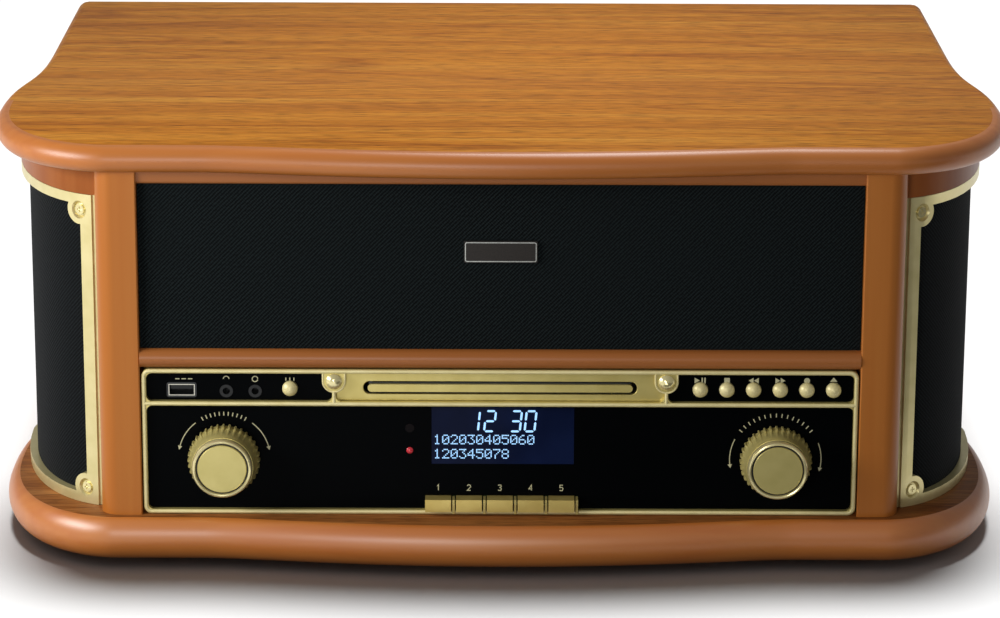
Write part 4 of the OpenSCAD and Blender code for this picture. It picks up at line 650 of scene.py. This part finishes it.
# angles in degrees, counted from the right-hand side
panel_marks = arrow_arc(-KNOB_X, 128, 165) + arrow_arc(-KNOB_X, 52, 15)
panel_marks += arrow_arc(KNOB_X, 153, 187) + arrow_arc(KNOB_X, 22, -11)
panel_marks += dial_ticks(-KNOB_X, 118, 62, 11) + dial_ticks(KNOB_X, 140, 40, 15)
for i in range(5):
    panel_marks += numeral(str(i + 1), (i - 2) * KEY_STEP)

play, stop, back, forward, record, opens = (BUTTON_X + i * BUTTON_STEP for i in range(6))
panel_marks += [triangle(play - 1.6, 2.6), ink([(play + 0.9, MARK_Z - 1.5), (play + 0.9, MARK_Z + 1.5)], 0.7),
                ink([(play + 2.3, MARK_Z - 1.5), (play + 2.3, MARK_Z + 1.5)], 0.7),
                ink_shape([(stop + 1.4 * u, MARK_Z + 1.4 * v) for u, v in ((-1, -1), (1, -1), (1, 1), (-1, 1))]),
                triangle(back + 1.3, -2.4), triangle(back - 1.3, -2.4),
                triangle(forward - 1.3, 2.4), triangle(forward + 1.3, 2.4),
                ink_shape(arc(record, MARK_Z, 1.5, 0, 345, 20)),
                ink_shape([(opens - 1.8, MARK_Z - 0.4), (opens + 1.8, MARK_Z - 0.4), (opens, MARK_Z + 1.8)]),
                ink([(opens - 1.8, MARK_Z - 1.4), (opens + 1.8, MARK_Z - 1.4)], 0.7)]
for x, sweep in zip(JACK_XS, (180, 345)):   # an arc over one jack, a plain ring over the other
    panel_marks.append(ink(arc(x, MARK_Z, 1.4, 0, sweep, 16), 0.45))
panel_marks += [ink([(x, MARK_Z - 0.8), (x, MARK_Z + 0.8)], 0.5) for x in (FUNCTION_X - 2, FUNCTION_X, FUNCTION_X + 2)]
panel_marks += [ink([(x, MARK_Z), (x + 2.2, MARK_Z)], 0.5) for x in (STICK_X - 3.2, STICK_X, STICK_X + 3.2)]
piece("panel_marks", *joined(panel_marks), [print_ink], slot="black_panel")

# the display's lit digits, standing on its window: a plain clock over two rows of dot digits
DOTS = {"0": "01110 10001 10011 10101 11001 10001 01110", "1": "00100 01100 00100 00100 00100 00100 01110",
        "2": "01110 10001 00001 00010 00100 01000 11111", "3": "11111 00010 00100 00010 00001 10001 01110",
        "4": "00010 00110 01010 10010 11111 00010 00010", "5": "11111 10000 11110 00001 00001 10001 01110",
        "6": "00110 01000 10000 11110 10001 10001 01110", "7": "11111 00001 00010 00100 01000 01000 01000",
        "8": "01110 10001 10001 01110 10001 10001 01110"}
BARS = {"0": "abcdef", "1": "bc", "2": "abged", "3": "abgcd"}
BAR_ENDS = {"a": ((0, 1), (1, 1)), "b": ((1, 1), (1, 0.5)), "c": ((1, 0.5), (1, 0)), "d": ((0, 0), (1, 0)),
            "e": ((0, 0), (0, 0.5)), "f": ((0, 0.5), (0, 1)), "g": ((0, 0.5), (1, 0.5))}
LIT0, LIT1 = FASCIA_Y - 0.05, FASCIA_Y + 0.05
DOT_STEP, DOT_HALF, DOT_ROWS, DOT_DIGIT_STEP = 0.74, 0.4, 7, 4.27
ROW_X, UPPER_ROW_Z, LOWER_ROW_Z = -33.0, 63.7, 56.2
CLOCK_Z, CLOCK_W, CLOCK_H, CLOCK_LEAN, BAR_T, BAR_GAP = 70.3, 4.9, 10.6, 0.1, 1.05, 0.35


def dot_row(digits, z0):
    parts = []
    for n, digit in enumerate(digits):
        for row, bits in enumerate(DOTS[digit].split()):
            for col, bit in enumerate(bits):
                if bit == "1":
                    x, z = ROW_X + n * DOT_DIGIT_STEP + col * DOT_STEP, z0 + (DOT_ROWS - 1 - row) * DOT_STEP
                    s = DOT_STEP * DOT_HALF
                    parts.append(along_y([(x - s, z - s), (x + s, z - s), (x + s, z + s), (x - s, z + s)], LIT0, LIT1))
    return parts


def bar_digit(digit, x0):
    """One digit of pointed bars, leaning a little."""
    parts = []
    for bar in BARS[digit]:
        a, b = (Vector((x0 + u * CLOCK_W + v * CLOCK_H * CLOCK_LEAN, CLOCK_Z + v * CLOCK_H)) for u, v in BAR_ENDS[bar])
        way = (b - a).normalized()
        a, b, side = a + way * BAR_GAP, b - way * BAR_GAP, Vector((-way.y, way.x)) * BAR_T / 2
        half = way * BAR_T / 2
        shape = [a, a + half + side, b - half + side, b, b - half - side, a + half - side]
        parts.append(along_y([(p.x, p.y) for p in shape], LIT0, LIT1))
    return parts


lit = dot_row("102030405060", UPPER_ROW_Z) + dot_row("120345078", LOWER_ROW_Z)
for digit, x in (("1", -16.0), ("2", -8.0), ("3", 5.0), ("0", 12.3)):
    lit += bar_digit(digit, x)
piece("display_digits", *joined(lit), [lit_blue], slot="screen")

# the stick socket's dark surround
surround = round_box(STICK_X - STICK_W / 2, STICK_X + STICK_W / 2, STICK_Z - STICK_H / 2, STICK_Z + STICK_H / 2, 0.8, 3)
piece("stick_socket_surround", *stroke(surround, 0.7, FASCIA_Y - 0.5, FASCIA_Y + 0.1, closed=True), [dark_plastic],
      slot="dark_plastic")


# ---------------------------------------------------------------- finishes on the pieces that come with the frame

def shaded_by_angle(limit):
    """Smooth shading on curved walls of the solid pieces, with crisp edges kept."""
    tree = bpy.data.node_groups.new("smooth_walls", "GeometryNodeTree")
    tree.interface.new_socket("Geometry", in_out="INPUT", socket_type="NodeSocketGeometry")
    tree.interface.new_socket("Geometry", in_out="OUTPUT", socket_type="NodeSocketGeometry")
    kinds = {"start": "NodeGroupInput", "weld": "GeometryNodeMergeByDistance", "faces": "GeometryNodeSetShadeSmooth",
             "bend": "GeometryNodeInputMeshEdgeAngle", "test": "FunctionNodeCompare",
             "edges": "GeometryNodeSetShadeSmooth", "end": "NodeGroupOutput"}
    n = {k: tree.nodes.new(v) for k, v in kinds.items()}
    n["weld"].inputs["Distance"].default_value = 0.000004   # four micrometres, far below any real gap
    n["faces"].inputs["Shade Smooth"].default_value = True
    n["edges"].domain = "EDGE"
    n["test"].data_type, n["test"].operation = "FLOAT", "LESS_THAN"
    n["test"].inputs[1].default_value = radians(limit)
    for a, b in ((n["start"].outputs[0], n["weld"].inputs["Geometry"]),
                 (n["weld"].outputs[0], n["faces"].inputs["Geometry"]),
                 (n["faces"].outputs[0], n["edges"].inputs["Geometry"]),
                 (n["bend"].outputs["Unsigned Angle"], n["test"].inputs[0]),
                 (n["test"].outputs[0], n["edges"].inputs["Shade Smooth"]),
                 (n["edges"].outputs[0], n["end"].inputs[0])):
        tree.links.new(a, b)
    return tree


smooth_walls = shaded_by_angle(28)
FINISH_OF = {
    band_wood: "side_wall_left side_wall_right lid base_board",
    rail_wood: "front_frame",
    brass: "control_bezel disc_plate tray_bar",
    frame_brass: "side_frames",
    knob_brass: "volume_knob tuning_knob",
    key_brass: "key_1 key_2 key_3 key_4 key_5",
    polished_brass: "trim_screws",
    button_brass: "function_button play_button stop_button back_button forward_button record_button open_button",
    side_weave: "side_cloths front_grille",
    plate_brown: "name_plate",
    black_panel: "fascia",
    screen_glass: "display",
    sensor_tint: "sensor_window",
    lamp_red: "power_lamp",
    sockets: "front_sockets",
    steel: "stay_arm motor_pulley tonearm cue_lever volume_shaft tuning_shaft turntable_motor arm_gimbal",
    aluminium: "disc_chassis power_supply",
    bearing_brass: "spindle_bearing case_hinges lid_hinges",
    platter_metal: "platter",
    dark_plastic: "deck_plate tonearm_base cue_lift speed_lever disc_tray rear_sockets",
    fibreboard: "back_panel",
    board_green: "main_board control_board",
    rubber: "feet platter_mat drive_belt",
    cone_paper: "speakers",
    cartridge_red: "cartridge"}
for finish, names in FINISH_OF.items():
    for name in names.split():
        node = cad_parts[name]
        node.data.materials.clear()
        node.data.materials.append(finish)
        shade = node.modifiers.new("smooth walls", "NODES")
        shade.node_group = smooth_walls
        if name in ("control_bezel", "tray_bar", "disc_plate") or name.startswith("key_"):
            ease = node.modifiers.new("eased edges", "BEVEL")
            ease.width, ease.segments, ease.limit_method, ease.angle_limit = 0.0003, 2, "ANGLE", radians(50)

# ---------------------------------------------------------------- room, lights and camera
scene = bpy.context.scene
scene.view_settings.view_transform = "Standard"


def flat_sheet(name, x0, x1, y0, y1, z, finish):
    mesh = bpy.data.meshes.new(name)
    mesh.from_pydata([(x0, y0, z), (x1, y0, z), (x1, y1, z), (x0, y1, z)], [], [[0, 1, 2, 3]])
    mesh.materials.append(finish)
    made = bpy.data.objects.new(name, mesh)
    scene.collection.objects.link(made)
    return made


def shown_rays(tree):
    """Two switches: 1 for rays straight from the camera or through glass, and 1 for rays off a glossy surface."""
    rays = add(tree, "LightPath").outputs
    direct = {0: rays["Is Camera Ray"], 1: rays["Is Transmission Ray"]}
    return add(tree, "Math", direct, operation="MAXIMUM").outputs[0], rays["Is Glossy Ray"]


paper, paper_shader = finish_named("white_paper_floor", "#cfcfcf", 0.9, Specular_IOR_Level=0.05)
clear, mirrored = shown_rays(paper)
seen = add(paper, "Math", {0: clear, 1: mirrored}, operation="MAXIMUM").outputs[0]
paper_tone = add(paper, "Mix", {0: seen, 6: linear("#727272"), 7: linear("#cfcfcf")}, data_type="RGBA").outputs[2]
wire(paper, paper_shader, Base_Color=paper_tone)
floor = flat_sheet("floor", -30, 30, -30, 30, 0, paper)
# black card on the floor at the right, seen only in the brass and the lacquer: it keeps that half dark
card = moulded("black_velvet_card", "#0c0c0c", "#121212", 0.95, 4.0, 0.0, Specular_IOR_Level=0.0)
black = flat_sheet("black_card", 0.0, 1.6, -2.2, -0.25, 0.001, card)
black.visible_camera = black.visible_shadow = black.visible_diffuse = False

world = bpy.data.worlds.new("studio")
scene.world = world
world.use_nodes = True
air = world.node_tree.nodes["Background"]
clear, mirrored = shown_rays(world)
pale = add(world, "Math", {0: mirrored, 1: 0.2, 2: 0.13}, operation="MULTIPLY_ADD").outputs[0]
air.inputs["Color"].default_value = linear("#ffffff")
strength = add(world, "Math", {0: clear, 1: pale}, operation="MAXIMUM").outputs[0]
world.node_tree.links.new(strength, air.inputs["Strength"])


def shines_on(lamp, floor_state):
    """Lets a lamp light only the floor, or everything but the floor."""
    group = bpy.data.collections.new(lamp.name + "_group")
    group.objects.link(floor)
    group.collection_objects[0].light_linking.link_state = floor_state
    lamp.light_linking.receiver_collection = group


def soft_lamp(name, place, toward, width, height, watts):
    lamp = bpy.data.lights.new(name, "AREA")
    lamp.shape, lamp.size, lamp.size_y, lamp.energy = "RECTANGLE", width, height, watts
    made = bpy.data.objects.new(name, lamp)
    made.location = place
    made.rotation_euler = (Vector(toward) - Vector(place)).to_track_quat("-Z", "Y").to_euler()
    scene.collection.objects.link(made)
    shines_on(made, "EXCLUDE")


soft_lamp("key_left", (-0.735, -0.487, 0.39), (-0.05, -0.15, 0.1), 0.48, 0.26, 5.6)
soft_lamp("front_strip", (-0.19, -1.2, 0.3), (-0.05, -0.2, 0.1), 0.24, 0.24, 2.3)
soft_lamp("top", (0.09, 0.03, 0.72), (0.02, -0.02, 0.2), 0.3, 0.25, 2.6)

sky = bpy.data.lights.new("floor_light", "SUN")
sky.energy, sky.angle = 5.3, radians(17)
over = bpy.data.objects.new("floor_light", sky)
over.rotation_euler = (radians(-12), 0, 0)   # from above and behind, so that the shadow lies in front
scene.collection.objects.link(over)
shines_on(over, "INCLUDE")

# camera from the front and about 16 degrees down, where the photograph was taken from
CAMERA_AT, CAMERA_TURN, LENS_MM = (-5.0, -1803.9, 648.5), (1.29362, -0.00406, -0.00146), 136.2
lens = bpy.data.cameras.new("camera")
lens.sensor_width, lens.lens = 36, LENS_MM
lens.clip_start, lens.clip_end = 0.05, 100
camera = bpy.data.objects.new("camera", lens)
camera.location = at(*CAMERA_AT)
camera.rotation_euler = CAMERA_TURN
scene.collection.objects.link(camera)
scene.camera = camera
